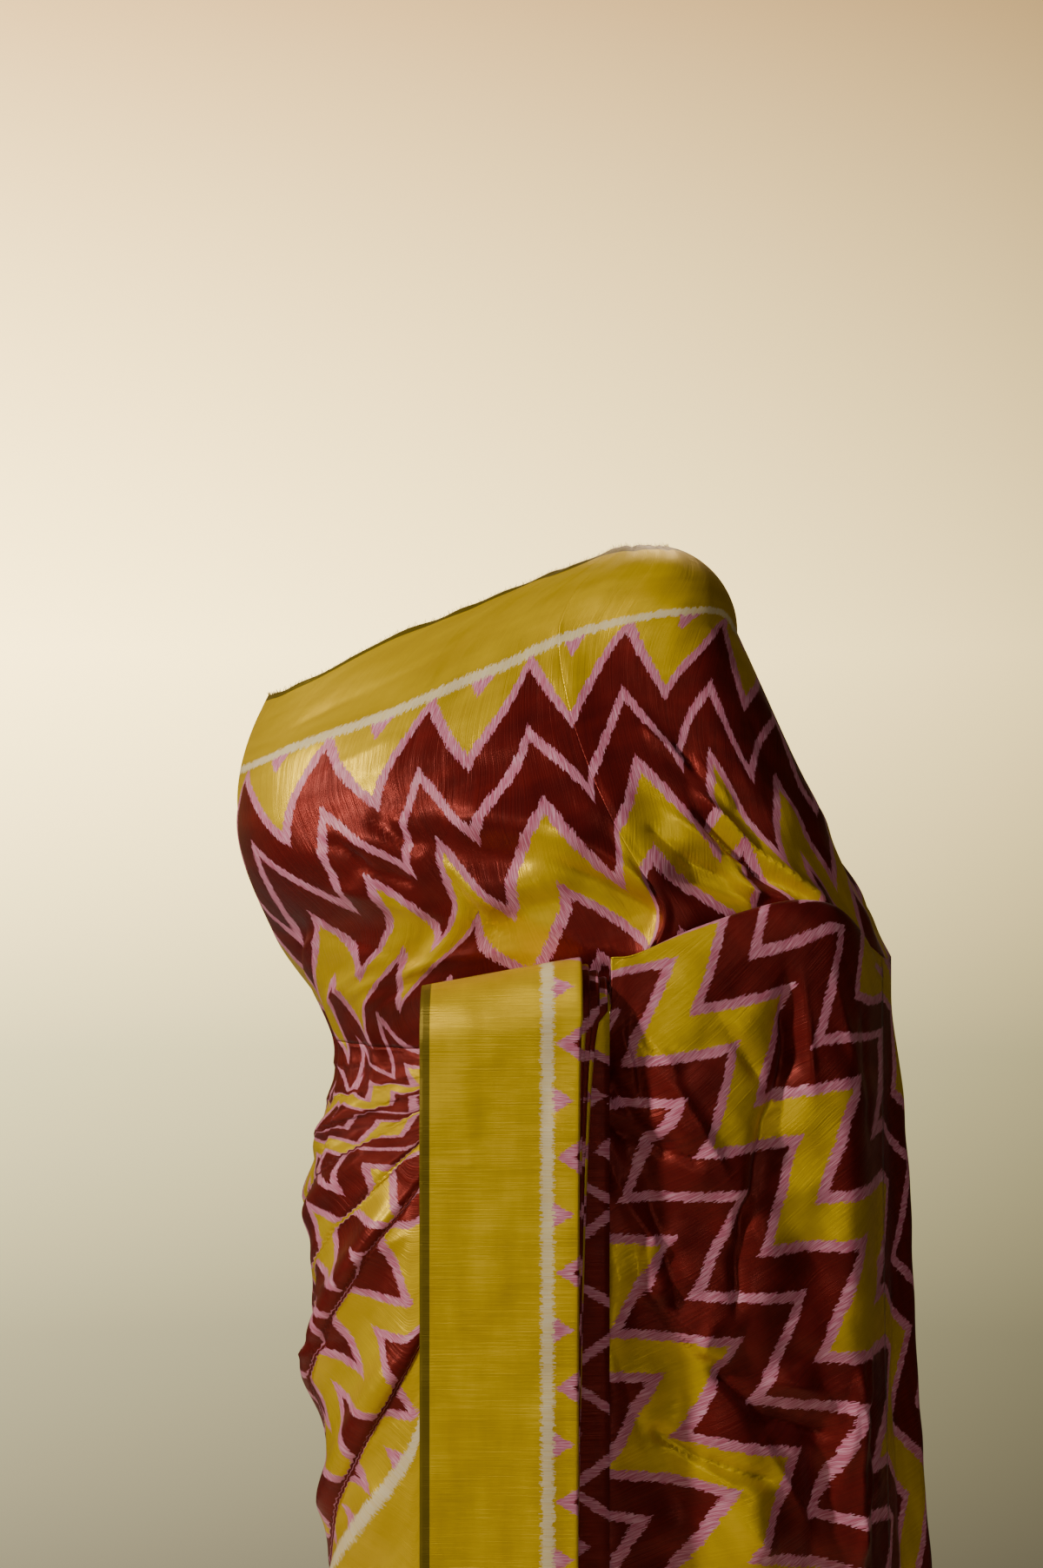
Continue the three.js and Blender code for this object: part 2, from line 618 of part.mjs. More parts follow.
function backFall() {
  const outer = (u, v) => {
    const top = curveAt(ARM_LINE, "u", mix(ELBOW_AT, 1, u));
    const low = new THREE.Vector3(along(BACK_END, "b", "x", u), along(BACK_END, "b", "y", u), END_Z);
    top.z -= SEAM;
    const point = hang(top, low, 1 - v, FALL_FLARE);
    point.y += SEAM * (1 - ramp(u, 0, BACK_PLAIN.side));
    const away = towards(mix(BACK.faceFrom, BACK.faceTo, u));
    const rise = folds(BACK_FOLDS, u * BACK_LENGTH, point.z);
    return point.addScaledVector(away, rise * ramp(u, 0, BACK_PLAIN.side) * ramp(1 - v, 0, BACK_PLAIN.top));
  };
  return wall("back_fall", MAROON, BACK.columns, BACK.rows, outer, { levelHigh: true });
}

const saree = new THREE.Group();
saree.name = "silk_saree";
saree.add(skirtUnder(), frontPleats(), hipWrap(), chestDrape());
saree.add(shoulderDrape(), frontFall(), borderFall(), backFall());
saree.position.set(-WAIST_CENTRE[0], -WAIST_CENTRE[1], -WAIST_Z);

export default saree;
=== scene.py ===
"""The silk saree in its worn form, as eight stretches of one ikat strip with frayed selvedges.

Shapes are worked out in millimetres above the floor, with the front facing -Y and the wearer's
left at +X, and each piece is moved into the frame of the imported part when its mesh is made.
"""

import logging
from collections.abc import Sequence
from dataclasses import dataclass, field
from enum import Enum
from functools import partial

import bpy
import numpy as np
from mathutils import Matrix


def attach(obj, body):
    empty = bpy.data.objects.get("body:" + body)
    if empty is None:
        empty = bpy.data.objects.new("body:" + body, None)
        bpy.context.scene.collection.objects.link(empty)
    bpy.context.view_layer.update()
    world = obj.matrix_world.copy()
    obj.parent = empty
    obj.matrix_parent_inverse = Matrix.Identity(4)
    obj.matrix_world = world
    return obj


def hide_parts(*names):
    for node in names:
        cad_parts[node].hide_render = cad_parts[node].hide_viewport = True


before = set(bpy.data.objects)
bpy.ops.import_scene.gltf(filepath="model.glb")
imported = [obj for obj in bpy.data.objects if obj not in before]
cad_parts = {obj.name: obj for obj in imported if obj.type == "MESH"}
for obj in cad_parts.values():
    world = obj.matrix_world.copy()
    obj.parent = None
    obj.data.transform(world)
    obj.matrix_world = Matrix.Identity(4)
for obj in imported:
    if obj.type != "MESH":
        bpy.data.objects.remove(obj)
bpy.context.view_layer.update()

LOG = logging.getLogger("saree")
Array = np.ndarray
Vec3 = tuple[float, float, float]

FLOOR_TO_FRAME = np.array([18.0, 15.0, -1080.0])  # the waist's middle becomes the origin
MM = 0.001
WAIST_Z = 1080.0
HEM_Z = 25.0
END_Z = 420.0  # the lower end of the hanging cloth
CLOTH_THICKNESS = 0.9  # of the sheets
WALL = 1.5  # of the solids
CLEAR = 0.4  # how far the first turn's sheet lies inside its solid
FRILL = 0.9  # how far a selvedge's frill goes
FOLD_MM = 2.4  # the folds' tables: millimetres for a degree round the figure
TUCK_MM = 2.5  # the same for the tucks' slope
HIP_MM = 2.6  # the same for the cloth's own length round the hips
WIDTH = 1.134  # of the strip, in metres, from the upper selvedge to the lower one


class Hold(Enum):
    DRAPED = "draped"
    HUNG = "hung"
    FOLDED = "folded"


def smooth(x: Array) -> Array:
    """An even rise from 0 to 1."""
    c = np.clip(x, 0.0, 1.0)
    return c * c * (3 - 2 * c)


def mix(a: Array, b: Array, k: Array) -> Array:
    """The value a share of the way from a to b."""
    return a + (b - a) * k


def ramp(x: Array, start: float, end: float) -> Array:
    """An even rise from 0 at start to 1 at end."""
    return smooth((np.asarray(x, float) - start) / (end - start))


def towards(bearing: Array) -> Array:
    """The level direction of a bearing: 0 is the front, 90 the wearer's left, 180 the back."""
    turn = np.radians(np.asarray(bearing, float))
    return np.stack([np.sin(turn), -np.cos(turn), np.zeros_like(turn)], -1)


def column(values: Array) -> Array:
    """The values with one more axis, to multiply points by."""
    return np.asarray(values, float)[..., None]


@dataclass(frozen=True)
class Chart:
    """A short table with named columns, read along its first column on a smooth curve.

    Attributes:
        columns: the names, the first of which is the key.
        rows: the numbers, in the key's order.
    """

    columns: tuple[str, ...]
    rows: tuple[tuple[float, ...], ...]

    def at(self, name: str, where: Array) -> Array:
        """Reads one column.

        Args:
            name: the column's name.
            where: the key's values.

        Returns:
            The column's value at each of them.
        """
        table = np.array(self.rows, float)
        key, value = table[:, 0], table[:, self.columns.index(name)]
        last = len(key) - 1
        below = np.maximum(np.arange(last + 1) - 1, 0)
        above = np.minimum(np.arange(last + 1) + 1, last)
        slope = (value[above] - value[below]) / (key[above] - key[below])
        where = np.asarray(where, float)
        i = np.clip(np.searchsorted(key, where, side="left") - 1, 0, last - 1)
        span = key[i + 1] - key[i]
        k = np.clip((where - key[i]) / span, 0.0, 1.0)
        return (
            (2 * k**3 - 3 * k**2 + 1) * value[i]
            + (k**3 - 2 * k**2 + k) * span * slope[i]
            + (3 * k**2 - 2 * k**3) * value[i + 1]
            + (k**3 - k**2) * span * slope[i + 1]
        )

    def point(self, where: Array) -> Array:
        """The points of a curve whose columns are x, y and z."""
        return np.stack([self.at(name, where) for name in "xyz"], -1)

    def level_point(self, where: Array, z: float) -> Array:
        """The points, at one height, of a curve whose columns are x and y."""
        return np.stack([self.at("x", where), self.at("y", where), np.full_like(where, z)], -1)


@dataclass(frozen=True)
class Creases:
    """Folds that each run between two places of the sheet and die away at their ends.

    Many of the places are creases read off the photo, which another program carried onto the
    form. The rest, and all widths and heights, were chosen one by one.

    Attributes:
        rows: start a, start b, end a, end b, half width and height, all in millimetres.
        skew: how much steeper one flank of each fold is than the other.
        sharp: whether the crests are pressed.
        depth: how many times the table's heights they are.
    """

    rows: tuple[tuple[float, ...], ...]
    skew: float = 0.0
    sharp: bool = False
    depth: float = 1.0

    def rise(self, a: Array, b: Array) -> Array:
        """The height of all the folds together at places of the sheet."""
        total = np.zeros(np.broadcast(a, b).shape)
        for a0, b0, a1, b1, wide, high in self.rows:
            da, db = a1 - a0, b1 - b0
            length = np.hypot(da, db)
            k = ((a - a0) * da + (b - b0) * db) / length**2
            across = ((a - a0) * db - (b - b0) * da) / length
            ends = ramp(k, -0.12, 0.2) * (1 - ramp(k, 0.75, 1.12))
            total += high * ends * self.profile(across, wide)
        return self.depth * total

    def profile(self, across: Array, wide: float) -> Array:
        """A rounded ridge, or a pressed one with a sharp crest."""
        x = across / wide
        x = x * (1 + self.skew * np.tanh(x))
        if self.sharp:
            return np.exp(1.5 * (0.2 - np.sqrt(x * x + 0.04)))
        return np.exp(-(x * x))


def by_angle(*rows: tuple[float, ...]) -> tuple[tuple[float, ...], ...]:
    """Rows of creases whose two places round the figure are given in degrees."""
    return tuple(
        (a0 * FOLD_MM, b0, a1 * FOLD_MM, b1, wide, high) for a0, b0, a1, b1, wide, high in rows
    )


@dataclass(frozen=True)
class Overlaps(Creases):
    """Edges where a fold lies over the cloth beside it; a negative width puts it on the left."""

    def profile(self, across: Array, wide: float) -> Array:
        """A steep edge on one side of the line, which sinks back slowly."""
        x = np.maximum(across * np.sign(wide), 0)
        return (1 - np.exp(-x / 1.8)) * np.exp(-x / abs(wide))


@dataclass(frozen=True)
class Tucks:
    """Diagonal folds round the right hip, each hiding some cloth under its lower edge.

    Attributes:
        rows: start angle, start height, end angle, end height, bend, hidden cloth in metres, its
            shift along the strip in metres, height and reach of the fold.
    """

    rows: tuple[tuple[float, ...], ...]

    def each(self, angle: Array, z: Array) -> list[tuple[Array, Array, tuple[float, ...]]]:
        """For every fold: its strength, how far above its edge the places lie, and its row."""
        found = []
        for row in self.rows:
            a0, z0, a1, z1, bend = row[:5]
            k = (angle - a0) / (a1 - a0)
            line = z0 + (z1 - z0) * k + 4 * bend * k * (1 - k)
            slope = np.arctan2(z1 - z0, (a1 - a0) * TUCK_MM)
            strength = ramp(k, -0.05, 0.3) * (1 - ramp(k, 1.0, 1.25))
            found.append((strength, (z - line) * np.cos(slope), row[5:]))
        return found

    def rise(self, angle: Array, z: Array) -> Array:
        """The folds' height."""
        total = np.zeros_like(z)
        for strength, above, (_, _, high, reach) in self.each(angle, z):
            x = np.maximum(above, 0)
            total += high * strength * (1 - np.exp(-x / 2.5)) * np.exp(-x / reach)
        return total

    def hidden(self, angle: Array, z: Array) -> tuple[Array, Array]:
        """Cloth hidden below each place: along the strip and across it, in metres."""
        along, across = np.zeros_like(z), np.zeros_like(z)
        for strength, above, (hides, shift, _, _) in self.each(angle, z):
            past = smooth((above + 0.2) / 1.4)
            along += shift * past
            across += hides * strength * past
        return along, across


def ripple(a: Array, b: Array, size: float, seed: float) -> Array:
    """Slight unevenness of silk, as a sum of long waves in fixed directions.

    Args:
        a: places along the sheet, in millimetres.
        b: places across it.
        size: the shortest wave, in millimetres.
        seed: shifts the waves, so that no two stretches ripple alike.

    Returns:
        Heights of about one unit.
    """
    total = np.zeros(np.broadcast(a, b).shape)
    for i in range(1, 8):
        turn = 2.4 * i + seed
        wave = size * (1 + 0.37 * i)
        phase = (a * np.cos(turn) + b * np.sin(turn)) * 2 * np.pi / wave
        bend = 0.8 * np.sin((a * np.sin(turn) - b * np.cos(turn)) * 2 * np.pi / (wave * 2.3) + i)
        total += np.sin(phase + bend + seed * i) / 2.6
    return total


@dataclass(frozen=True)
class Figure:
    """The general figure that the cloth is drawn over, and its left upper arm."""

    section: Chart = Chart(
        ("z", "x", "y", "half", "front", "back"),
        (
            (25, -2, 2, 196, 150, 150),
            (350, -3, 1, 160, 128, 130),
            (650, -4, 0, 147, 122, 124),
            (800, -5, 0, 160, 124, 128),
            (940, -6, -1, 174, 123, 130),
            (1010, -9, -5, 157, 112, 118),
            (1080, -18, -15, 134, 97, 96),
            (1160, -42, -42, 148, 114, 90),
            (1254, -60, -65, 146, 132, 92),
            (1353, -58, -45, 138, 98, 88),
            (1420, -25, -20, 112, 58, 62),
            (1467, 66, -8, 30, 6, 6),
        ),
    )
    shoulder: Vec3 = (112.0, 2.0, 1400.0)
    shoulder_radius: float = 66.0
    shoulder_top: float = 1467.0
    elbow: Vec3 = (238.0, 6.0, 1150.0)
    elbow_radius: float = 50.0
    fade: float = 0.3
    blend: float = 12.0
    middle_share: float = 0.45

    def _section(self, z: Array, facing: Array, lift: Array) -> tuple[Array, ...]:
        """The section's middle and its two half sizes on the side that faces a way."""
        deep = np.where(
            facing[..., 1] < 0, self.section.at("front", z), self.section.at("back", z)
        )
        x, y = self.section.at("x", z), self.section.at("y", z)
        return x, y, self.section.at("half", z) + lift, deep + lift

    def torso(self, z: Array, bearing: Array, lift: Array = 0.0) -> Array:
        """The figure's outline at heights and bearings, stood off by a lift."""
        z, bearing = np.broadcast_arrays(z, bearing)
        way = towards(bearing)
        x, y, half, deep = self._section(z, way, lift)
        reach = 1 / np.hypot(way[..., 0] / half, way[..., 1] / deep)
        return np.stack([x, y, z], -1) + way * column(reach)

    def arm(self, z: Array) -> tuple[Array, Array, Array]:
        """The upper arm's middle and radius at heights, closing to a cap over the shoulder."""
        down = (self.shoulder[2] - z) / (self.shoulder[2] - self.elbow[2])
        k = np.clip(down, 0.0, 1.0)
        below = np.maximum(0.0, self.elbow[2] - z)
        cap = np.clip((z - self.shoulder[2]) / (self.shoulder_top - self.shoulder[2]), 0.0, 1.0)
        radius = mix(self.shoulder_radius, self.elbow_radius, k) - self.fade * below
        x = mix(self.shoulder[0], self.elbow[0], k)
        y = mix(self.shoulder[1], self.elbow[1], k)
        return x, y, radius * np.sqrt(np.maximum(0.0, 1 - cap**2))

    def _taut(self, z: Array, way: Array) -> Array:
        """Cloth drawn round the chest and the arm together: its point that faces a way."""
        x, y, half, deep = self._section(z, way, 0.0)
        reach = np.hypot(half * way[..., 0], deep * way[..., 1])
        chest = np.stack(
            [x + half**2 * way[..., 0] / reach, y + deep**2 * way[..., 1] / reach, z], -1
        )
        ax, ay, radius = self.arm(z)
        sleeve = np.stack([ax, ay, z], -1) + way * column(radius)
        on_chest, on_sleeve = (chest * way).sum(-1), (sleeve * way).sum(-1)
        ahead = on_chest - on_sleeve
        share = 1 / (1 + np.exp(np.clip(ahead / self.blend, -60, 60)))
        soft = np.maximum(on_chest, on_sleeve)
        soft = soft + self.blend * np.log1p(np.exp(-np.abs(ahead) / self.blend))
        point = mix(chest, sleeve, column(share))
        return point + way * column(soft - (point * way).sum(-1))

    def hull(self, z: Array, bearing: Array) -> Array:
        """That cloth's points at heights and bearings from the middle of chest and arm."""
        z, bearing = np.broadcast_arrays(np.asarray(z, float), np.asarray(bearing, float))
        share = self.middle_share * ramp(z, 1085, 1200)
        ax, ay, _ = self.arm(z)
        middle = np.stack(
            [
                mix(self.section.at("x", z), ax, share),
                mix(self.section.at("y", z), ay, share),
                z,
            ],
            -1,
        )
        way, side = towards(bearing), towards(bearing + 90)
        low, high = bearing - 89.0, bearing + 89.0
        for _ in range(24):
            mid = (low + high) / 2
            behind = ((self._taut(z, towards(mid)) - middle) * side).sum(-1) < 0
            low, high = np.where(behind, mid, low), np.where(behind, high, mid)
        point = self._taut(z, towards(low))
        return middle + way * column(((point - middle) * way).sum(-1))


FIGURE = Figure()


@dataclass(frozen=True)
class HandPanel:
    """The plane on which the end panel hangs from the hand.

    Attributes:
        corner: the plane's place where the lower selvedge hangs.
        along: the level direction across the panel.
        width: of the panel's front face.
    """

    corner: tuple[float, float] = (35.0, -243.0)
    along: tuple[float, float] = (0.905, 0.425)
    width: float = 110.0
    gather: tuple[float, float] = (4.0, 134.0)
    gather_behind: float = 82.4
    gather_z: float = 1116.0

    def point(self, across: Array, behind: Array, z: Array) -> Array:
        """Points at distances across the panel and behind it."""
        across, behind, z = np.broadcast_arrays(across, behind, z)
        x = self.corner[0] + self.along[0] * across - self.along[1] * behind
        y = self.corner[1] + self.along[1] * across + self.along[0] * behind
        return np.stack([x, y, z], -1)


PANEL = HandPanel()

# Lower selvedge of the second turn, climbing from the hem to the hand
LOWER_EDGE = Chart(
    ("angle", "z"),
    (
        (24, 25),
        (200, 25),
        (235, 70),
        (265, 205),
        (292, 370),
        (315, 480),
        (352, 600),
        (384, 780),
    ),
)

# Upper selvedge, from the waist at the back round to the front of the left shoulder
CHEST_EDGE = Chart(
    ("angle", "z"),
    (
        (160, 1105),
        (200, 1190),
        (235, 1290),
        (262, 1340),
        (285, 1352),
        (298, 1355),
        (308, 1373),
        (318, 1401),
        (332, 1421),
        (348, 1443),
        (362, 1450),
        (374, 1461),
        (390, 1465),
    ),
)

# The line where the cloth of the shoulder meets the cloth over the forearm and behind the arm
ARM_LINE = Chart(
    ("u", "angle", "x", "y", "z"),
    (
        (0.0, 30, 121.25, -111.48, 1116),
        (0.1, 35, 136, -94, 1104),
        (0.2, 42, 160, -68, 1102),
        (0.3, 52, 194, -54, 1122),
        (0.4, 66, 234, -48, 1164),
        (0.46, 77, 257, -36, 1180),
        (0.5, 90, 277, -8, 1170),
        (0.54, 102, 290, 25, 1150),
        (0.7, 130, 276, 82, 1148),
        (0.85, 152, 212, 108, 1148),
        (1.0, 170, 138, 96, 1148),
    ),
)
ELBOW_AT = 0.54
WRAP_LEAVES = (350.0, 384.0)  # bearings between which the second turn leaves the hips
OVER_PLEATS_LIFT = 15.0


def figure_cloth(z: Array, angle: Array) -> Array:
    """The second turn's ground: the figure, stood off where it crosses the front pleats."""
    fade = 1 - ramp(z, 1110, 1200)
    return FIGURE.torso(z, angle, OVER_PLEATS_LIFT * ramp(angle, 292, 316) * fade)


def waist_line(angle: Array) -> Array:
    """The seam between the hips and the chest, from the back round to the hand."""
    angle = np.asarray(angle, float)
    leave = column(ramp(angle, *WRAP_LEAVES))
    held = PANEL.point(PANEL.gather[1], PANEL.gather_behind, PANEL.gather_z)
    return mix(figure_cloth(WAIST_Z, angle), held, leave)


def waist_gathers(angle: Array) -> Array:
    """Small gathers that run across the waist at the right front, in millimetres."""
    waves = np.sin(angle / 3.1) + 0.7 * np.sin(angle / 1.9 + 1.3) + 0.5 * np.sin(angle / 5.3 + 2)
    return 1.9 * waves * ramp(angle, 268, 292) * (1 - ramp(angle, 362, 378))


def row_share(v: Array) -> Array:
    """Rows of the chest and the shoulder lie closer together towards the upper selvedge."""
    return mix(v, np.sin(v * np.pi / 2), 0.35)


def lean_left(share: Array, angle: Array) -> Array:
    """How much of its lean the chest keeps on the way up; round the side it leaves it softly."""
    plain = (1 - share) ** 2
    return mix(plain * (1 + 2 * share), plain, ramp(angle, 356, 376))


def walk(points: Array) -> Array:
    """Distances walked along rows of points, in millimetres, on the last axis but one."""
    step = np.linalg.norm(np.diff(points, axis=-2), axis=-1)
    start = np.zeros((*step.shape[:-1], 1))
    return np.concatenate([start, np.cumsum(step, axis=-1)], axis=-1)


class UpperChart:
    """Where the strip's pattern lies on the chest and the shoulder.

    Places are distances round the body from the seam between the two, and heights. For each
    distance the table says how high above the chart's level the lines a tenth, two tenths and
    three tenths of a metre from the upper selvedge lie, and what the place along the strip is
    80 mm above that level, on it and 120 mm below it. The nudge is a further shift along the
    strip, strongest 105 mm below the level. The table isn't charted by hand: another program
    fitted it to corners read off the photo, and only some of its values were then changed.
    """

    LEVEL = 1300.0
    HIGH, LOW = 80.0, -120.0
    ROUND = Chart(
        ("arc", "tenth", "second", "third", "s_high", "s_mid", "s_low", "nudge"),
        (
            (-860, -232, -330, -420, -0.57, -0.56, -0.57, 0),
            (-640, -142, -250, -345, -0.36, -0.345, -0.365, 0),
            (-460, -67, -175, -270, -0.165, -0.155, -0.185, 0),
            (-360, -30, -143, -245, -0.078, -0.07, -0.105, 0),
            (-300, -16, -135, -238, -0.028, -0.022, -0.055, 0),
            (-250, -11, -130, -234, 0.01, 0.013, -0.022, 0),
            (-200, 1, -111, -226, 0.055, 0.06, 0.025, -0.004),
            (-136, 22, -82, -206, 0.123, 0.13, 0.10, -0.007),
            (-100, 38, -65, -182, 0.165, 0.175, 0.15, -0.004),
            (-53, 59, -39, -150, 0.221, 0.238, 0.218, 0.032),
            (0, 80, -16, -128, 0.285, 0.303, 0.301, 0.034),
            (53, 97, 3, -122, 0.346, 0.368, 0.386, 0.018),
            (101, 105, 0, -130, 0.398, 0.435, 0.462, 0.006),
            (150, 105, -16, -142, 0.444, 0.498, 0.538, 0),
            (190, 90, -35, -150, 0.475, 0.54, 0.596, 0),
            (241, 84, -45, -155, 0.51, 0.585, 0.66, 0),
            (340, 80, -50, -158, 0.57, 0.66, 0.75, 0),
        ),
    )

    def __init__(self) -> None:
        """Measures the distance round the body at one height, by bearing."""
        self.bearings = np.linspace(160.0, 545.0, 1541)
        line = FIGURE.hull(self.LEVEL, self.bearings)
        walked = walk(line)
        self.walked = walked - np.interp(390.0, self.bearings, walked)

    def arc(self, bearing: Array) -> Array:
        """The distance round the body at a bearing."""
        return np.interp(bearing, self.bearings, self.walked)

    def place(self, bearing: Array, z: Array, top: Array) -> tuple[Array, Array]:
        """The strip's two coordinates at places of the cloth.

        Args:
            bearing: bearings of the places, from 160 on.
            z: their heights.
            top: height of the upper selvedge at the same bearings.

        Returns:
            Metres along the strip, and metres across it from the upper selvedge.
        """
        arc = self.arc(bearing)
        level = z - self.LEVEL
        lines = [top - self.LEVEL, *(self.ROUND.at(n, arc) for n in ("tenth", "second", "third"))]
        across = np.zeros_like(level)
        for upper, lower in zip(lines[:-1], lines[1:]):
            across = across + 0.1 * np.clip((upper - level) / (upper - lower), 0, 1)
        across = across + 0.1 * np.maximum(0, lines[-1] - level) / (lines[-2] - lines[-1])
        high, mid, low = (self.ROUND.at(n, arc) for n in ("s_high", "s_mid", "s_low"))
        up = np.clip(level, -260, 170)
        bend = ((high - mid) / self.HIGH - (low - mid) / self.LOW) / (self.HIGH - self.LOW)
        slope = (high - mid) / self.HIGH - bend * self.HIGH
        nudge = self.ROUND.at("nudge", arc) * np.exp(-(((level + 105) / 50) ** 2))
        return mid + slope * up + bend * up * up + nudge, across


UPPER = UpperChart()


class ForearmChart:
    """Where the strip's pattern lies on the cloth that hangs over the forearm.

    The factors come from another program's fit to corners read off the photo.
    """

    LENGTH = 262.0  # along the forearm, from the pleats to the elbow
    LEVEL = 1000.0

    def place(self, along: Array, z: Array) -> tuple[Array, Array]:
        """The strip's two coordinates, from places along the forearm and heights."""
        a, h = along / 100, (z - self.LEVEL) / 100
        s = 0.102 + 0.043 * a - 0.092 * h + 0.0095 * a * h + 0.003 * a * a
        t = 0.53 - 0.064 * a - 0.0535 * h + 0.004 * a * h - 0.0015 * h * h
        t = t - 0.04 * ramp(along, 205, 258) * ramp(z, 1050, 1140)
        return s, t


FOREARM = ForearmChart()


@dataclass
class Stretch:
    """One stretch of the strip, which replaces the part's solid of the same name.

    Attributes:
        node: the solid that it stands for, and the piece's own name.
        grid: steps along the cloth and across it.
        flat: the cut of this stretch, its width and its length in metres; not used.
        hold: how it is held; not used.
        rests_on: what it lies on or hangs from; not used.
        closed: whether it closes round the body.
    """

    node: str
    grid: tuple[int, int]
    flat: tuple[float, float]
    hold: Hold
    rests_on: tuple[str, ...] = ()
    closed: bool = False

    def shape(self, u: Array, v: Array) -> tuple[Array, Array, Array]:
        """The outer face.

        Args:
            u: shares along the stretch, one for each point.
            v: shares across it, from its lower edge up.

        Returns:
            Points in millimetres, and the strip's two coordinates in metres.
        """
        raise NotImplementedError

    def edge(self, v: float, count: int) -> Array:
        """Points of the line at one share across the stretch."""
        u = np.linspace(0, 1, count)[:, None]
        return self.shape(u, np.full_like(u, v))[0][:, 0]

    def build(self, finish: "Finish") -> bpy.types.Object:
        """Makes the stretch as a thin closed shell and dresses it.

        Args:
            finish: the material that it gets.

        Returns:
            The new piece.
        """
        nu, nv = self.grid
        u, v = np.meshgrid(np.linspace(0, 1, nu + 1), np.linspace(0, 1, nv + 1), indexing="ij")
        points, s, t = self.shape(u, v)
        if self.closed:
            points[-1] = points[0]
        along_u, along_v = np.gradient(points, axis=0), np.gradient(points, axis=1)
        if self.closed:
            along_u[0] = along_u[-1] = points[1] - points[-2]
        normal = np.cross(along_u, along_v)
        normal /= np.maximum(np.linalg.norm(normal, axis=-1, keepdims=True), 1e-9)
        inner = points - normal * CLOTH_THICKNESS
        piece = shell(self.node + "_silk", points, inner, s, t, self.closed)
        piece.data.materials.append(finish.material())
        area = sum(face.area for face in piece.data.polygons) / 2
        LOG.info("%s: %d faces, %.3f square metres", self.node, len(piece.data.polygons), area)
        return piece

    def declare(self, piece: bpy.types.Object, with_pieces: Sequence[bpy.types.Object]) -> None:
        """Puts the piece on the part's body, and hides the part's solid of the same name."""
        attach(piece, "root")
        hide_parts(self.node)


def shell(
    name: str, outer: Array, inner: Array, s: Array, t: Array, closed: bool
) -> bpy.types.Object:
    """Closes two grids of points into one thin shell with the pattern's map on it.

    Args:
        name: the piece's name.
        outer: points of the outer face, in millimetres above the floor.
        inner: points behind them.
        s: metres along the strip at each point.
        t: metres across it.
        closed: whether the last column is the first one again.

    Returns:
        The new object.
    """
    nu, nv = outer.shape[0] - 1, outer.shape[1] - 1
    columns = nu if closed else nu + 1
    count = columns * (nv + 1)
    index = np.arange(count).reshape(columns, nv + 1)
    if closed:
        index = np.concatenate([index, index[:1]], 0)
    corner = np.arange((nu + 1) * (nv + 1)).reshape(nu + 1, nv + 1)

    def cells(grid: Array) -> Array:
        """The four corners of each cell, outward side first."""
        return np.stack([grid[:-1, :-1], grid[1:, :-1], grid[1:, 1:], grid[:-1, 1:]], -1)

    faces, marks = [], []
    for grid, offset, turned in ((index, 0, False), (index, count, True)):
        quads, places = cells(grid).reshape(-1, 4) + offset, cells(corner).reshape(-1, 4)
        faces.append(quads[:, ::-1] if turned else quads)
        marks.append(places[:, ::-1] if turned else places)
    rims = [(index[:, 0], corner[:, 0], False), (index[:, -1], corner[:, -1], True)]
    if not closed:
        rims += [(index[0], corner[0], True), (index[-1], corner[-1], False)]
    for line, places, turned in rims:
        quads = np.stack([line[:-1], line[:-1] + count, line[1:] + count, line[1:]], -1)
        spots = np.stack([places[:-1], places[:-1], places[1:], places[1:]], -1)
        faces.append(quads[:, ::-1] if turned else quads)
        marks.append(spots[:, ::-1] if turned else spots)
    quads, spots = np.concatenate(faces), np.concatenate(marks)
    points = np.concatenate(
        [outer[:columns].reshape(-1, 3), inner[:columns].reshape(-1, 3)]
    )
    mesh = bpy.data.meshes.new(name)
    mesh.from_pydata(((points + FLOOR_TO_FRAME) * MM).tolist(), [], quads.tolist())
    layer = mesh.uv_layers.new(name="strip")
    strip = np.stack([s.reshape(-1), t.reshape(-1)], -1)[spots.reshape(-1)]
    layer.data.foreach_set("uv", strip.astype(np.float32).ravel())
    rim = len(faces[0]) * 2
    mesh.polygons.foreach_set("use_smooth", np.arange(len(quads)) < rim)
    mesh.update()
    piece = bpy.data.objects.new(name, mesh)
    bpy.context.scene.collection.objects.link(piece)
    return piece


@dataclass
class SkirtUnder(Stretch):
    """The first turn round the hips, from the waist to the hem."""

    folds: Creases = Creases(
        (
            (640, 30, 652, 300, 14, 4),
            (684, 30, 700, 420, 11, 5),
            (724, 30, 738, 480, 13, -4),
            (756, 30, 766, 500, 12, 5),
            (792, 30, 800, 560, 13, -4),
        )
    )

    def shape(self, u: Array, v: Array) -> tuple[Array, Array, Array]:
        """Lies just inside the second turn, closer still at the waist."""
        z = mix(HEM_Z, 1078.0, v)
        gap = mix(6.0, 2.4, ramp(z, 1010, 1060))
        angle = 360 * u
        shows = ramp(LOWER_EDGE.at("z", angle) - z, 10, 90) * (1 - ramp(angle, 300, 314))
        rise = self.folds.rise(angle * HIP_MM, z) * shows * ramp(angle, 50, 64)
        points = FIGURE.torso(z, angle, rise - WALL - gap - CLEAR)
        return points, angle * HIP_MM * MM, WIDTH - (z - HEM_Z) * MM


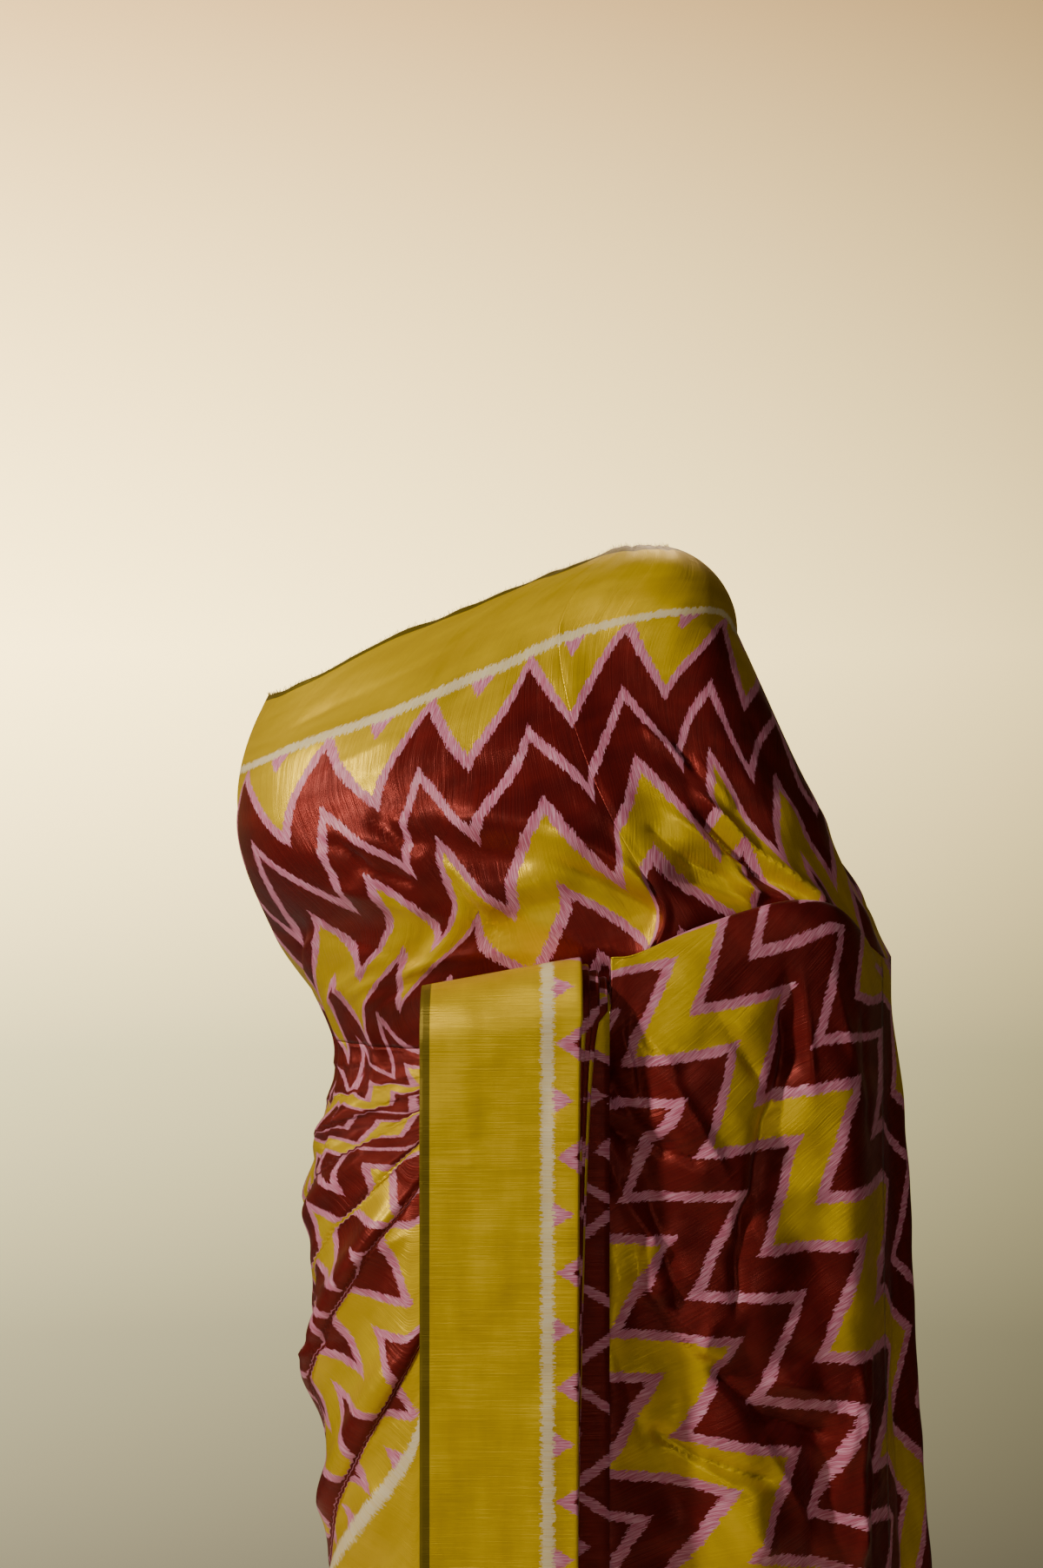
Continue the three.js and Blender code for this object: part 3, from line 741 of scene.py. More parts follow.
@dataclass
class FrontPleats(Stretch):
    """The knife pleats tucked in at the waist, fanning out to the hem."""

    count: int = 7
    section: Chart = Chart(
        ("i", "step", "proud"),
        (
            (0, 0.0, 0.0),
            (1, 0.5, 0.42),
            (2, 1.0, 0.8),
            (3, 1.4, 1.0),
            (4, 1.55, 0.86),
            (5, 1.35, 0.45),
            (6, 1.0, 0.0),
        ),
    )

    def shape(self, u: Array, v: Array) -> tuple[Array, Array, Array]:
        """Each pleat rises, turns back under the next one, and the cloth goes on."""
        place = u * self.count
        number = np.minimum(np.floor(place + 1e-9), self.count - 1)
        within = (place - number) * 6
        step, proud = self.section.at("step", within), self.section.at("proud", within)
        share = (number + step) / (self.count + 0.55)
        spread = (1 - v) ** 0.8
        z = mix(HEM_Z, 1076.0, v)
        start, end = mix(-22.0, -46.0, spread), mix(24.0, 44.0, spread)
        deep = mix(6.0, 16.0, 1 - v)
        uneven = 1 + 0.12 * np.sin(number * 2.1 + 3 * v)
        base = mix(1.8, -1.7, ramp(v, 0.85, 1))
        angle = mix(start, end, share)
        points = FIGURE.torso(z, angle, base + deep * np.clip(proud * uneven, 0, 1.05))
        return points, walk(np.moveaxis(points, 0, 1)).T * MM, WIDTH - (z - HEM_Z) * MM


@dataclass
class HipWrap(Stretch):
    """The second turn, round the left side, the back and the right side, up to the hand.

    Attributes:
        phase: metres along the strip that join its lower map to the chest's, at the waist.
        stretch: how much longer the lower selvedge is than its line, where it climbs.
        back_share: how much of the climb's shear the back keeps.
        closer: the grid's columns, closer together where the tucks lie.
    """

    phase: float = -1.945
    stretch: float = 1.15
    back_share: float = 0.7
    folds: Creases = Creases(
        by_angle(
            (296, 985, 338, 1050, 13, 8),
            (295, 925, 344, 1015, 14, 9),
            (300, 790, 346, 965, 15, 13),
            (308, 700, 350, 860, 14, 10),
            (296, 590, 346, 760, 16, 9),
            (236, 860, 288, 965, 20, 8),
            (226, 700, 284, 880, 22, 7),
            (205, 520, 262, 760, 24, 9),
            (196, 260, 222, 640, 24, 8),
            (120, 60, 116, 620, 20, 9),
            (82, 60, 86, 540, 18, 8),
            (160, 60, 150, 700, 22, 10),
        )
    )
    closer: Chart = Chart(("u", "share"), ((0, 0), (0.34, 0.66), (0.86, 0.92), (1, 1)))
    tucks: Tucks = Tucks(
        (
            (256, 449, 366, 898, 9, 0.11, 0.0, 6.5, 34),
            (248, 545, 366, 1020, 16, 0.065, 0.03, 7.0, 30),
            (246, 742, 366, 1036, 8, 0.05, 0.02, 6.0, 22),
            (236, 873, 366, 1050, 0, 0.05, 0.035, 5.0, 18),
            (230, 932, 366, 1062, -2, 0.06, 0.02, 3.5, 16),
            (226, 985, 372, 1068, 2, 0.08, 0.03, 3.0, 14),
            (222, 1030, 376, 1076, 2, 0.075, 0.02, 2.4, 12),
            (202, 610, 262, 780, -10, 0.02, 0.02, 4.0, 30),
        )
    )
    creases: Creases = Creases(
        by_angle(
            (306, 842, 326, 852, 5, -3.0),
            (304, 832, 322, 840, 4, 2.2),
            (300, 872, 330, 902, 6, 1.8),
            (306, 700, 330, 760, 7, 1.8),
            (318, 640, 344, 700, 8, -1.6),
            (330, 905, 352, 946, 6, 1.6),
            (334, 780, 356, 826, 7, -1.4),
            (240, 905, 296, 1010, 7, 2.4),
            (250, 780, 300, 900, 8, -2.2),
            (200, 880, 240, 930, 7, -2),
            (170, 905, 196, 930, 6, 1.8),
            (176, 420, 190, 830, 9, -2.6),
            (138, 80, 134, 500, 9, -2.8),
            (100, 50, 98, 380, 8, 2.2),
            (62, 90, 70, 420, 7, -2.4),
        ),
        skew=0.25,
        sharp=True,
    )

    def shape(self, u: Array, v: Array) -> tuple[Array, Array, Array]:
        """Follows the hips, climbs at the right front and ends held behind the hand."""
        share = self.closer.at("share", u)
        low = LOWER_EDGE.at("z", self.angle(share, np.full_like(u, HEM_Z)))
        z = mix(low, WAIST_Z, v)
        angle = self.angle(share, z)
        leave = column(ramp(angle, *WRAP_LEAVES))
        rise = self.folds.rise(angle * FOLD_MM, z) * ramp(1 - v, 0, 0.08)
        fine = self.creases.rise(angle * FOLD_MM, z) + 0.5 * ripple(angle * FOLD_MM, z, 34, 1.3)
        fine = fine + self.tucks.rise(angle, z)
        rise = rise + fine * ramp(WAIST_Z - z, 0, 24) * ramp(v, 0, 0.02)
        rise = rise + waist_gathers(angle) * np.exp(-(((WAIST_Z - z) / 42) ** 2))
        point = figure_cloth(z, angle) + towards(angle) * column(rise)
        held = PANEL.point(mix(*PANEL.gather, v), PANEL.gather_behind, PANEL.gather_z)
        return mix(point, held, leave), *self.place(angle, z, low, v)

    def angle(self, share: Array, z: Array) -> Array:
        """The angle at a share of the way round; the tucked end leans back towards the hem."""
        return mix(mix(47.0, 26.0, (z / WAIST_Z) ** 0.8), 384.0, share)

    def place(self, angle: Array, z: Array, low: Array, v: Array) -> tuple[Array, Array]:
        """The strip's two coordinates, joined to the chest's at the waist.

        Across the strip they count up from the lower selvedge at the cloth's true width, less
        what the folds hide.
        """
        top = CHEST_EDGE.at("z", np.maximum(angle, 160))
        seam_s, seam_t = UPPER.place(np.maximum(angle, 164), np.full_like(z, WAIST_Z), top)
        seam_t = mix(0.08, seam_t, ramp(angle, 150, 215))
        seam_s = seam_s + np.minimum(angle - 164, 0) * HIP_MM * MM
        steep = np.radians(60 * ramp(angle, 205, 262) * mix(1, 0.35, ramp(z, 840, WAIST_Z)))
        lean = np.radians(60 * ramp(angle, 150, 315))
        steps = np.diff(z, axis=1) * np.cos((steep[:, 1:] + steep[:, :-1]) / 2)
        height = np.concatenate([np.zeros((len(z), 1)), np.cumsum(steps, axis=1)], axis=1)
        slip, hides = self.tucks.hidden(angle, z)
        from_low = WIDTH - height * MM - hides
        from_top = seam_t + (height[:, -1:] - height) * MM
        k = ramp(v, 0.82, 1)
        grid = np.linspace(20, 390, 741)
        edge = LOWER_EDGE.at("z", grid)
        run = np.hypot(np.diff(grid) * HIP_MM, np.diff(edge))
        walked = np.interp(angle, grid, np.concatenate([[0], np.cumsum(run)]))
        s_edge = walked * self.stretch * MM + slip + self.phase
        s_front = s_edge + (z - low) * np.sin(lean) * self.stretch * MM
        kept = mix(self.back_share, 1, ramp(angle, 80, 290))
        s_back = mix(mix(seam_s, s_edge, kept), seam_s, v)
        front = ramp(angle, 215, 300) * (1 - ramp(v, 0.86, 1))
        return mix(s_back, s_front, front), mix(from_low, from_top, k)


@dataclass
class ChestDrape(Stretch):
    """The cloth drawn from the back round the right side and across the chest."""

    folds: Creases = Creases(
        by_angle(
            (300, 1280, 350, 1350, 15, 4),
            (318, 1240, 372, 1310, 16, -5),
            (330, 1175, 378, 1235, 15, 6),
            (292, 1160, 345, 1190, 15, -5),
            (205, 1110, 262, 1230, 18, 6),
            (361, 1214, 383, 1170, 22, -12),
            (340, 1246, 364, 1216, 15, -6),
            (352, 1262, 380, 1236, 14, 5),
            (312, 1150, 348, 1122, 13, -6),
        )
    )
    creases: Creases = Creases(
        (
            (-235, 1322, -80, 1398, 7, -1.2),
            (-215, 1302, -60, 1368, 8, 1.2),
            (-170, 1290, -120, 1318, 9, 1.4),
            (-172, 1240, -150, 1222, 5, -4.5),
            (-182, 1232, -168, 1214, 5, 2.6),
            (-140, 1256, -110, 1232, 6, -4.5),
            (-126, 1262, -96, 1240, 6, 3.0),
            (-162, 1222, -122, 1208, 5, -3.6),
            (-190, 1205, -96, 1180, 8, 3.0),
            (-210, 1165, -110, 1150, 8, -3.4),
            (-175, 1118, -60, 1160, 9, 3.2),
            (-106, 1228, -86, 1180, 4, -3.8),
            (-96, 1226, -74, 1184, 5, 3.0),
            (-94, 1194, -52, 1150, 5, -4.0),
            (-84, 1200, -40, 1160, 5, 2.6),
            (-70, 1300, -20, 1322, 8, 1.4),
            (-52, 1226, -8, 1176, 7, -4.0),
            (-40, 1250, -2, 1200, 8, 2.4),
            (-250, 1150, -190, 1190, 8, 2.2),
            (-290, 1120, -240, 1180, 9, -2.4),
            (-330, 1240, -260, 1300, 9, -1.6),
            (-420, 1180, -340, 1250, 12, 2.4),
            (-500, 1120, -430, 1190, 12, -2.2),
            (-140, 1096, -100, 1132, 7, -3.0),
            (-205, 1108, -150, 1150, 7, 2.4),
        ),
        skew=0.2,
        sharp=True,
        depth=1.35,
    )
    overlaps: Overlaps = Overlaps(
        (
            (-118, 1234, -84, 1176, -16, 3.0),
            (-100, 1186, -46, 1144, -18, 3.4),
            (-160, 1160, -90, 1128, -16, 2.6),
        )
    )

    def shape(self, u: Array, v: Array) -> tuple[Array, Array, Array]:
        """Runs from the waist to the upper selvedge, taut round chest and arm."""
        angle = mix(164.0, 390.9, u)
        foot = waist_line(angle)
        top = CHEST_EDGE.at("z", angle)
        share = row_share(v)
        z = mix(foot[..., 2], top, share)
        lean = foot - FIGURE.hull(foot[..., 2], angle)
        point = FIGURE.hull(z, angle) + lean * column(lean_left(share, angle))
        edges = ramp(v, 0, 0.12) * ramp(1 - v, 0, 0.1)
        arc = UPPER.arc(angle)
        rise = self.folds.rise(angle * FOLD_MM, z) * edges
        fine = self.creases.rise(arc, z) + self.overlaps.rise(arc, z)
        rough = (0.3 + 2.1 * (1 - ramp(z, 1232, 1290))) * ramp(arc, -230, -150)
        fine = fine + rough * ripple(arc, z, 25, 0.4)
        rise = rise + fine * ramp(v, 0, 0.1) * (1 - ramp(u, 0.97, 1.0))
        rise = rise - 0.6 * ramp(angle, 390.0, 390.8)
        rise = rise + waist_gathers(angle) * np.exp(-(((z - foot[..., 2]) / 38) ** 2))
        point = frilled(point, angle, arc, rise, v)
        return point, *UPPER.place(angle, z, top)


def frilled(point: Array, angle: Array, arc: Array, rise: Array, v: Array) -> Array:
    """Lifts the cloth by its creases, and frills the upper selvedge out and up.

    Args:
        point: the smooth cloth, in millimetres.
        angle: bearings that the lift faces.
        arc: distances round the body.
        rise: the creases' height.
        v: shares of the way up.

    Returns:
        The cloth's points.
    """
    out = FRILL * np.sin(arc / 9.0) * (0.6 + 0.4 * np.sin(arc / 31.0 + 1))
    point = point + towards(angle) * column(rise + out * ramp(v, 0.93, 1.0))
    point[..., 2] += FRILL * np.sin(arc / 7.5) * np.sin(arc / 23) * ramp(v, 0.95, 1.0)
    return point


@dataclass
class ShoulderDrape(Stretch):
    """The cloth over the left shoulder and the upper arm, down to the elbow."""

    upper: Chart = Chart(("u", "z"), ((0, 1465), (0.5, 1466), (0.8, 1464), (1, 1450)))
    creases: Creases = Creases(
        (
            (44, 1322, 72, 1296, 7, 4.0),
            (66, 1310, 80, 1286, 5, -4.0),
            (80, 1300, 92, 1262, 6, 2.6),
            (16, 1250, 26, 1222, 7, -3.4),
            (22, 1226, 48, 1206, 7, -4.0),
            (30, 1262, 52, 1226, 7, 3.4),
            (62, 1276, 92, 1222, 8, 8.0),
            (88, 1228, 128, 1190, 8, 7.5),
            (50, 1258, 84, 1208, 8, -8.0),
            (80, 1214, 116, 1184, 7, -7.0),
            (52, 1228, 78, 1216, 3.5, 2.6),
            (56, 1216, 84, 1204, 3, -2.6),
            (40, 1212, 66, 1196, 4, 2.6),
            (12, 1216, 66, 1180, 16, -9.0),
            (46, 1206, 128, 1186, 10, 6.0),
            (104, 1340, 124, 1226, 9, 1.8),
            (134, 1372, 160, 1240, 11, -1.8),
            (168, 1366, 196, 1210, 12, 2.0),
            (222, 1380, 246, 1220, 12, -2.4),
            (270, 1372, 286, 1230, 12, 2.2),
        ),
        skew=0.2,
        sharp=True,
        depth=1.2,
    )

    def shape(self, u: Array, v: Array) -> tuple[Array, Array, Array]:
        """Hangs plumb behind the arm, and is drawn into the crook in front of it."""
        angle = ARM_LINE.at("angle", u)
        foot = ARM_LINE.point(u)
        top = self.upper.at("z", u)
        share = row_share(v)
        z = mix(foot[..., 2], top, share)
        lean = foot - FIGURE.hull(foot[..., 2], angle)
        taut = FIGURE.hull(z, angle) + lean * column((1 - share) ** 2)
        joint = FIGURE.shoulder[2]
        k = column(np.clip((joint - z) / (joint - foot[..., 2]), 0, 1))
        hanging = mix(FIGURE.hull(np.full_like(z, joint), angle), foot, k)
        plumb = column(ramp(u, 0.44, 0.58) * (z < joint))
        point = mix(taut, hanging, plumb)
        arc = UPPER.arc(angle + 360)
        fine = self.creases.rise(arc, z)
        fine = fine + (0.3 + 1.6 * (1 - ramp(z, 1250, 1310))) * ripple(arc, z, 25, 0.4)
        rise = fine * ramp(v, 0, 0.1) * ramp(u, 0, 0.05)
        point = frilled(point, angle, arc, rise, v)
        s, t = UPPER.place(angle + 360, z, top)
        side = 0.3 * (1 - u) / (1 - ELBOW_AT)
        near = np.clip(0.5 + (side - t) / 0.08, 0, 1)
        behind = ramp(u, 0.6, 0.95)
        turned = mix(side, t, near) - 0.02 * near * (1 - near)
        return point, s + behind * 0.3 * (1450 - z) * MM, mix(t, turned, ramp(u, 0.54, 0.66))


def hang(top: Array, low: Array, down: Array, power: Array) -> Array:
    """Cloth that hangs from a line to its lower end, flaring by a power of the way down."""
    flare = column(down**power)
    point = mix(top, low, flare)
    point[..., 2] = mix(top[..., 2], low[..., 2], down)
    return point


@dataclass
class FrontFall(Stretch):
    """The cloth over the bent forearm, hanging in front of the arm.

    Attributes:
        crest: the forearm's upper line.
        end: the plain lower end, at END_Z.
        side: the way that the cloth faces.
        slide: how far the left part leans out over the pleats.
    """

    crest: Chart = Chart(
        ("a", "x", "y", "z"),
        (
            (0.0, 144, -158, 1158),
            (0.14, 158, -148, 1160),
            (0.35, 193, -120, 1178),
            (0.6, 236, -86, 1194),
            (0.74, 260, -66, 1197),
            (0.84, 277, -44, 1190),
            (0.93, 288, -12, 1166),
            (1.0, 291, 24, 1136),
        ),
    )
    end: Chart = Chart(("a", "x", "y"), ((0, 118, -152), (0.5, 222, -78), (1, 300, 46)))
    side: Vec3 = (0.77, -0.63, 0.0)
    folds: Creases = Creases(
        (
            (8, 1120, 46, 1010, 13, -7),
            (34, 1110, 92, 980, 18, 9),
            (84, 1080, 168, 880, 24, 8),
            (176, 1150, 172, 1040, 17, -7),
            (224, 1090, 222, 430, 17, 7),
            (196, 830, 190, 430, 16, -9),
            (128, 820, 140, 430, 20, 11),
            (74, 900, 80, 430, 17, -10),
            (30, 960, 34, 430, 14, 9),
        )
    )
    creases: Creases = Creases(
        (
            (20, 1136, 40, 1066, 5, 3.0),
            (30, 1120, 54, 1036, 5, -3.6),
            (12, 1112, 20, 1056, 4, -3.0),
            (26, 1070, 64, 1016, 5, -4.0),
            (22, 1082, 58, 1030, 5, 3.4),
            (60, 1022, 88, 1012, 6, -3.4),
            (4, 1044, 42, 1028, 5, -3.6),
            (2, 1056, 40, 1042, 5, 3.0),
            (40, 1030, 68, 1024, 5, -2.8),
            (58, 1078, 110, 1000, 7, 2.2),
            (20, 1004, 60, 950, 9, 3.0),
            (52, 1000, 76, 900, 9, -3.2),
            (96, 1128, 150, 1064, 8, -1.8),
            (168, 1150, 176, 1070, 8, -4.6),
            (182, 1156, 192, 1060, 6, 3.4),
            (176, 1084, 146, 1030, 9, -4.0),
            (150, 1040, 124, 960, 9, -4.0),
            (126, 980, 120, 900, 10, -4.6),
            (206, 1156, 228, 1070, 7, 2.2),
            (236, 1120, 242, 1010, 6, -2.0),
            (206, 1184, 216, 1150, 5, -3.6),
            (216, 1166, 238, 1140, 5, 3.0),
            (104, 862, 150, 818, 10, -5.0),
            (146, 822, 212, 802, 9, -5.0),
            (150, 850, 214, 832, 10, 3.0),
            (60, 818, 96, 792, 6, -4.0),
            (92, 796, 150, 776, 6, -3.6),
            (70, 806, 120, 770, 7, 2.8),
            (190, 840, 250, 812, 7, -2.0),
            (244, 860, 240, 700, 5, -3.0),
            (228, 850, 224, 690, 5, 2.6),
            (30, 880, 60, 800, 7, -2.0),
            (110, 760, 150, 720, 9, 2.0),
            (160, 700, 176, 560, 8, -2.2),
            (52, 700, 60, 470, 7, -3.0),
            (104, 690, 112, 440, 7, 2.6),
            (232, 640, 236, 440, 6, -2.6),
        ),
        skew=0.25,
        sharp=True,
        depth=1.9,
    )
    overlaps: Overlaps = Overlaps(
        (
            (24, 1150, 42, 1106, -12, 5.0),
            (36, 1114, 66, 1072, -14, 4.6),
            (46, 960, 50, 912, -24, 5.5),
            (48, 920, 92, 868, -26, 6.5),
            (84, 872, 118, 862, -22, 4.5),
            (146, 808, 190, 738, 14, 3.4),
            (222, 846, 202, 744, -12, 4.0),
            (238, 866, 224, 806, -9, 3.4),
            (240, 790, 216, 706, -10, 3.6),
        ),
        depth=1.6,
    )
    slide: float = 14.0

    def shape(self, u: Array, v: Array) -> tuple[Array, Array, Array]:
        """Falls from the forearm's crest, and goes over it down into the hollow behind."""
        way = np.array(self.side)
        crest = self.crest.point(u)
        low = self.end.level_point(u, END_Z)
        inside = ARM_LINE.point(u * ELBOW_AT)
        bulge = 9 * ramp(u, 0.1, 0.35) * (1 - ramp(u, 0.86, 1))
        edge = crest + way * column(bulge)
        edge[..., 2] -= mix(34.0, 12.0, ramp(u, 0.8, 1))
        over_top = 0.8
        down = np.clip(1 - v / over_top, 0, 1)
        fall = hang(edge, low, down, mix(1.0, 2.0, ramp(u, 0.6, 1)))
        along = u * FOREARM.LENGTH
        plain = ramp(u, 0, 0.08) * ramp(1 - u, 0, 0.08)
        rise = self.folds.rise(along, fall[..., 2]) * plain
        fine = self.creases.rise(along, fall[..., 2])
        fine = fine + 1.6 * ripple(along, fall[..., 2], 27, 2.2)
        fine = fine + self.overlaps.rise(along, fall[..., 2])
        rise = (rise + fine * ramp(u, 0, 0.02) * ramp(1 - u, 0, 0.05)) * ramp(down, 0, 0.08)
        fall = fall + way * column(rise)
        slide = self.slide * ramp(down, 0.08, 0.5) + 6 * ramp(down, 0, 0.04)
        slide = slide * (1 - ramp(u, 0, 0.35))
        fall = fall - np.array([*PANEL.along, 0.0]) * column(slide)
        turn = np.clip((v - over_top) / (1 - over_top), 0, 1) * np.pi
        climb = mix(edge, crest, column(1 - np.cos(np.minimum(turn, np.pi / 2))))
        climb[..., 2] = mix(edge[..., 2], crest[..., 2], np.sin(np.minimum(turn, np.pi / 2)))
        over = np.clip(2 * turn / np.pi - 1, 0, 1)
        dip = mix(crest, inside, column(over))
        dip[..., 2] = mix(crest[..., 2], inside[..., 2], over**1.15)
        point = np.where(column(v <= over_top) > 0, fall, climb)
        point = np.where(column(turn > np.pi / 2) > 0, dip, point)
        height = np.where(v <= over_top, fall[..., 2], edge[..., 2] + 30 * turn)
        return point, *FOREARM.place(along, height)


@dataclass
class BorderFall(Stretch):
    """The end panel held at the hand, with the accordion pleats behind its right edge.

    Attributes:
        top_low: height of the panel's top at its selvedge.
        top_high: height of its top at its right edge.
        hand_radius: how far back the cloth goes over the hand.
        layer: depth of a pleat.
        between: gap behind a pleat.
        pleats: for each, where its tip lies across the panel at the top and at the end, and
            where its inner fold lies.
        front_across: where the front face ends across the panel.
        tip_radius: of a pleat's outer fold.
        inner_radius: of its inner fold.
        last_across: where the last layer ends across the panel.
        last_behind: how far back it goes there.
        zero_z: the height from which the strip is measured.
        strip_start: metres along the strip at that height.
        strip_rate: metres of the strip for a metre down.
    """

    top_low: float = 1137.0
    top_high: float = 1157.0
    hand_radius: float = 40.0
    layer: float = 4.5
    between: float = 1.2
    pleats: tuple[tuple[float, float, float], ...] = (
        (114, 110, 62),
        (119, 109, 66),
        (126, 108, 70),
        (132, 107, 74),
    )
    front_across: float = 96.0
    tip_radius: float = 2.2
    inner_radius: float = 1.0
    last_across: float = 133.6
    last_behind: float = 6.0
    zero_z: float = 1101.0
    strip_start: float = -0.0425
    strip_rate: float = 1.0625
    panel_steps: int = 40
    turn_steps: int = 6
    run_steps: int = 5

    def section(self, low: Array) -> tuple[Array, Array]:
        """The stack's section: distances across and behind the panel, for each share down."""
        low = np.asarray(low, float)
        face = np.linspace(0, self.front_across, self.panel_steps)
        across = [np.full_like(low, x) for x in face]
        behind = [np.zeros_like(low) for _ in across]

        def run(start: Array, end: Array, deep: float, first: float) -> None:
            """A flat layer from one distance across to another."""
            for k in np.linspace(first, 1.0, self.run_steps):
                across.append(mix(start, end, k))
                behind.append(np.full_like(low, deep))

        def bend(middle: Array, reach: float, deep: float, gap: float, steps: int) -> None:
            """A half turn that ends a gap further back."""
            for turn in np.linspace(-np.pi / 2, np.pi / 2, steps + 1)[1:]:
                across.append(middle + reach * np.cos(turn))
                behind.append(np.full_like(low, deep + gap * (0.5 + 0.5 * np.sin(turn))))

        deep, start = 0.0, self.front_across
        for tip_top, tip_end, left in self.pleats:
            tip = mix(tip_top, tip_end, low) - self.tip_radius
            inner = left + self.inner_radius
            run(start, tip, deep, 0.2)
            bend(tip, self.tip_radius, deep, self.layer, self.turn_steps)
            deep += self.layer
            run(tip, inner, deep, 0.15)
            bend(np.full_like(low, inner), -self.inner_radius, deep, self.between, 3)
            deep += self.between
            start = inner
        for k in np.linspace(0.2, 1.0, 8):
            across.append(np.full_like(low, mix(start, self.last_across, k)))
            behind.append(np.full_like(low, deep + self.last_behind * smooth(k)))
        return np.stack(across), np.stack(behind)

    def shape(self, u: Array, v: Array) -> tuple[Array, Array, Array]:
        """Hangs in front, and goes back over the hand."""
        over_top = 0.7
        row = v[0]
        k = np.clip(row / over_top, 0, 1)
        across, behind = self.section((1 - k) ** 0.3)
        pick = np.round(u[:, 0] * (len(across) - 1)).astype(int)
        across, behind = across[pick], behind[pick]
        k = np.broadcast_to(k, across.shape)
        top = mix(self.top_low, self.top_high, across / PANEL.width) - self.hand_radius
        z = mix(END_Z, top, k)
        wave = self.waves(across, z) * (behind < 0.1) * (1 - ramp(across, 86, 104))
        fall = PANEL.point(across, behind + wave * ramp(1 - k, 0, 0.1), z)
        turn = np.clip((np.broadcast_to(row, k.shape) - over_top) / (1 - over_top), 0, 1) * np.pi
        radius = self.hand_radius - behind
        over = PANEL.point(across, self.hand_radius - radius * np.cos(turn), top)
        over[..., 2] += radius * np.sin(turn)
        point = np.where(column(turn > 0) > 0, over, fall)
        path = np.moveaxis(walk(np.moveaxis(PANEL.point(across, behind, 0.0), 0, 1)), 0, 1)
        height = np.where(turn > 0, top + turn * self.hand_radius, z)
        along = self.strip_start + (self.zero_z - height) * self.strip_rate * MM
        return point, along, WIDTH - path * MM

    def waves(self, across: Array, z: Array) -> Array:
        """The panel's slight bends, in millimetres."""
        slow = 2.6 * np.sin(across / 30 + z / 210) * np.sin(z / 160 + 0.6)
        return slow + (0.4 + 0.7 * ramp(z, 1000, 1070)) * ripple(across, z, 26, 4.1)


@dataclass
class BackFall(Stretch):
    """The cloth that hangs behind the arm, from the elbow round to the upper selvedge.

    Attributes:
        end: the plain lower end, at END_Z.
        length: of the line that it hangs from.
    """

    end: Chart = Chart(
        ("b", "x", "y"),
        ((0, 300, 47), (0.25, 314, 130), (0.5, 286, 196), (0.75, 214, 206), (1, 146, 158)),
    )
    length: float = 250.0
    folds: Creases = Creases(
        (
            (40, 1100, 62, 430, 16, 13),
            (92, 1120, 120, 430, 15, -10),
            (150, 1080, 176, 430, 17, 12),
            (205, 1120, 232, 430, 14, -9),
        )
    )
    creases: Creases = Creases(
        (
            (20, 900, 30, 470, 7, -3.0),
            (76, 760, 88, 440, 6, 2.6),
            (124, 980, 148, 640, 7, -2.6),
            (132, 640, 140, 440, 6, 3.0),
            (186, 900, 204, 520, 7, 2.8),
            (226, 1020, 240, 700, 6, -2.2),
        ),
        skew=0.25,
        sharp=True,
    )

    def shape(self, u: Array, v: Array) -> tuple[Array, Array, Array]:
        """Flares from the arm to its plain lower end."""
        top = ARM_LINE.point(mix(ELBOW_AT, 1.0, u))
        low = self.end.level_point(u, END_Z)
        point = hang(top, low, 1 - v, np.full_like(v, 2.0))
        along, z = u * self.length, point[..., 2]
        plain = ramp(u, 0, 0.1) * ramp(1 - v, 0, 0.15)
        fine = (self.creases.rise(along, z) + 0.6 * ripple(along, z, 34, 5.0)) * ramp(u, 0, 0.05)
        rise = self.folds.rise(along, z) * plain + fine * ramp(1 - v, 0, 0.1)
        point = point + towards(mix(105.0, 170.0, u)) * column(rise)
        s, t = FOREARM.place(np.full_like(z, FOREARM.LENGTH), z)
        return point, s + 0.0003 * along, t * (1 - u)


class Wire:
    """A number on its way through a material's nodes; an expression on wires adds Math nodes."""

    def __init__(self, graph: "Graph", socket: bpy.types.NodeSocket) -> None:
        """Wraps a socket of a graph."""
        self.graph = graph
        self.socket = socket

    def _math(self, operation: str, *values: "Wire | float") -> "Wire":
        """One Math node on this wire and the given values."""
        return self.graph.node("ShaderNodeMath", {"operation": operation}, [self, *values])

    def __add__(self, other: "Wire | float") -> "Wire":
        """The sum."""
        return self._math("ADD", other)

    def __sub__(self, other: "Wire | float") -> "Wire":
        """The difference."""
        return self._math("SUBTRACT", other)

    def __mul__(self, other: "Wire | float") -> "Wire":
        """The product."""
        return self._math("MULTIPLY", other)

    def __truediv__(self, other: "Wire | float") -> "Wire":
        """The quotient."""
        return self._math("DIVIDE", other)

    def __rsub__(self, other: float) -> "Wire":
        """A number less this wire."""
        return self.graph.node("ShaderNodeMath", {"operation": "SUBTRACT"}, [other, self])

    def below(self, other: "Wire | float") -> "Wire":
        """1 where this wire is less than the other."""
        return self._math("LESS_THAN", other)

    def above(self, other: "Wire | float") -> "Wire":
        """1 where this wire is greater than the other."""
        return self._math("GREATER_THAN", other)

    def size(self) -> "Wire":
        """The value without its sign."""
        return self._math("ABSOLUTE")

    def whole(self) -> "Wire":
        """The whole number below."""
        return self._math("FLOOR")

    def fraction(self) -> "Wire":
        """What is left over the whole number below."""
        return self._math("FRACT")

    def least(self, other: "Wire | float") -> "Wire":
        """The lesser of the two."""
        return self._math("MINIMUM", other)

    def most(self, other: "Wire | float") -> "Wire":
        """The greater of the two."""
        return self._math("MAXIMUM", other)


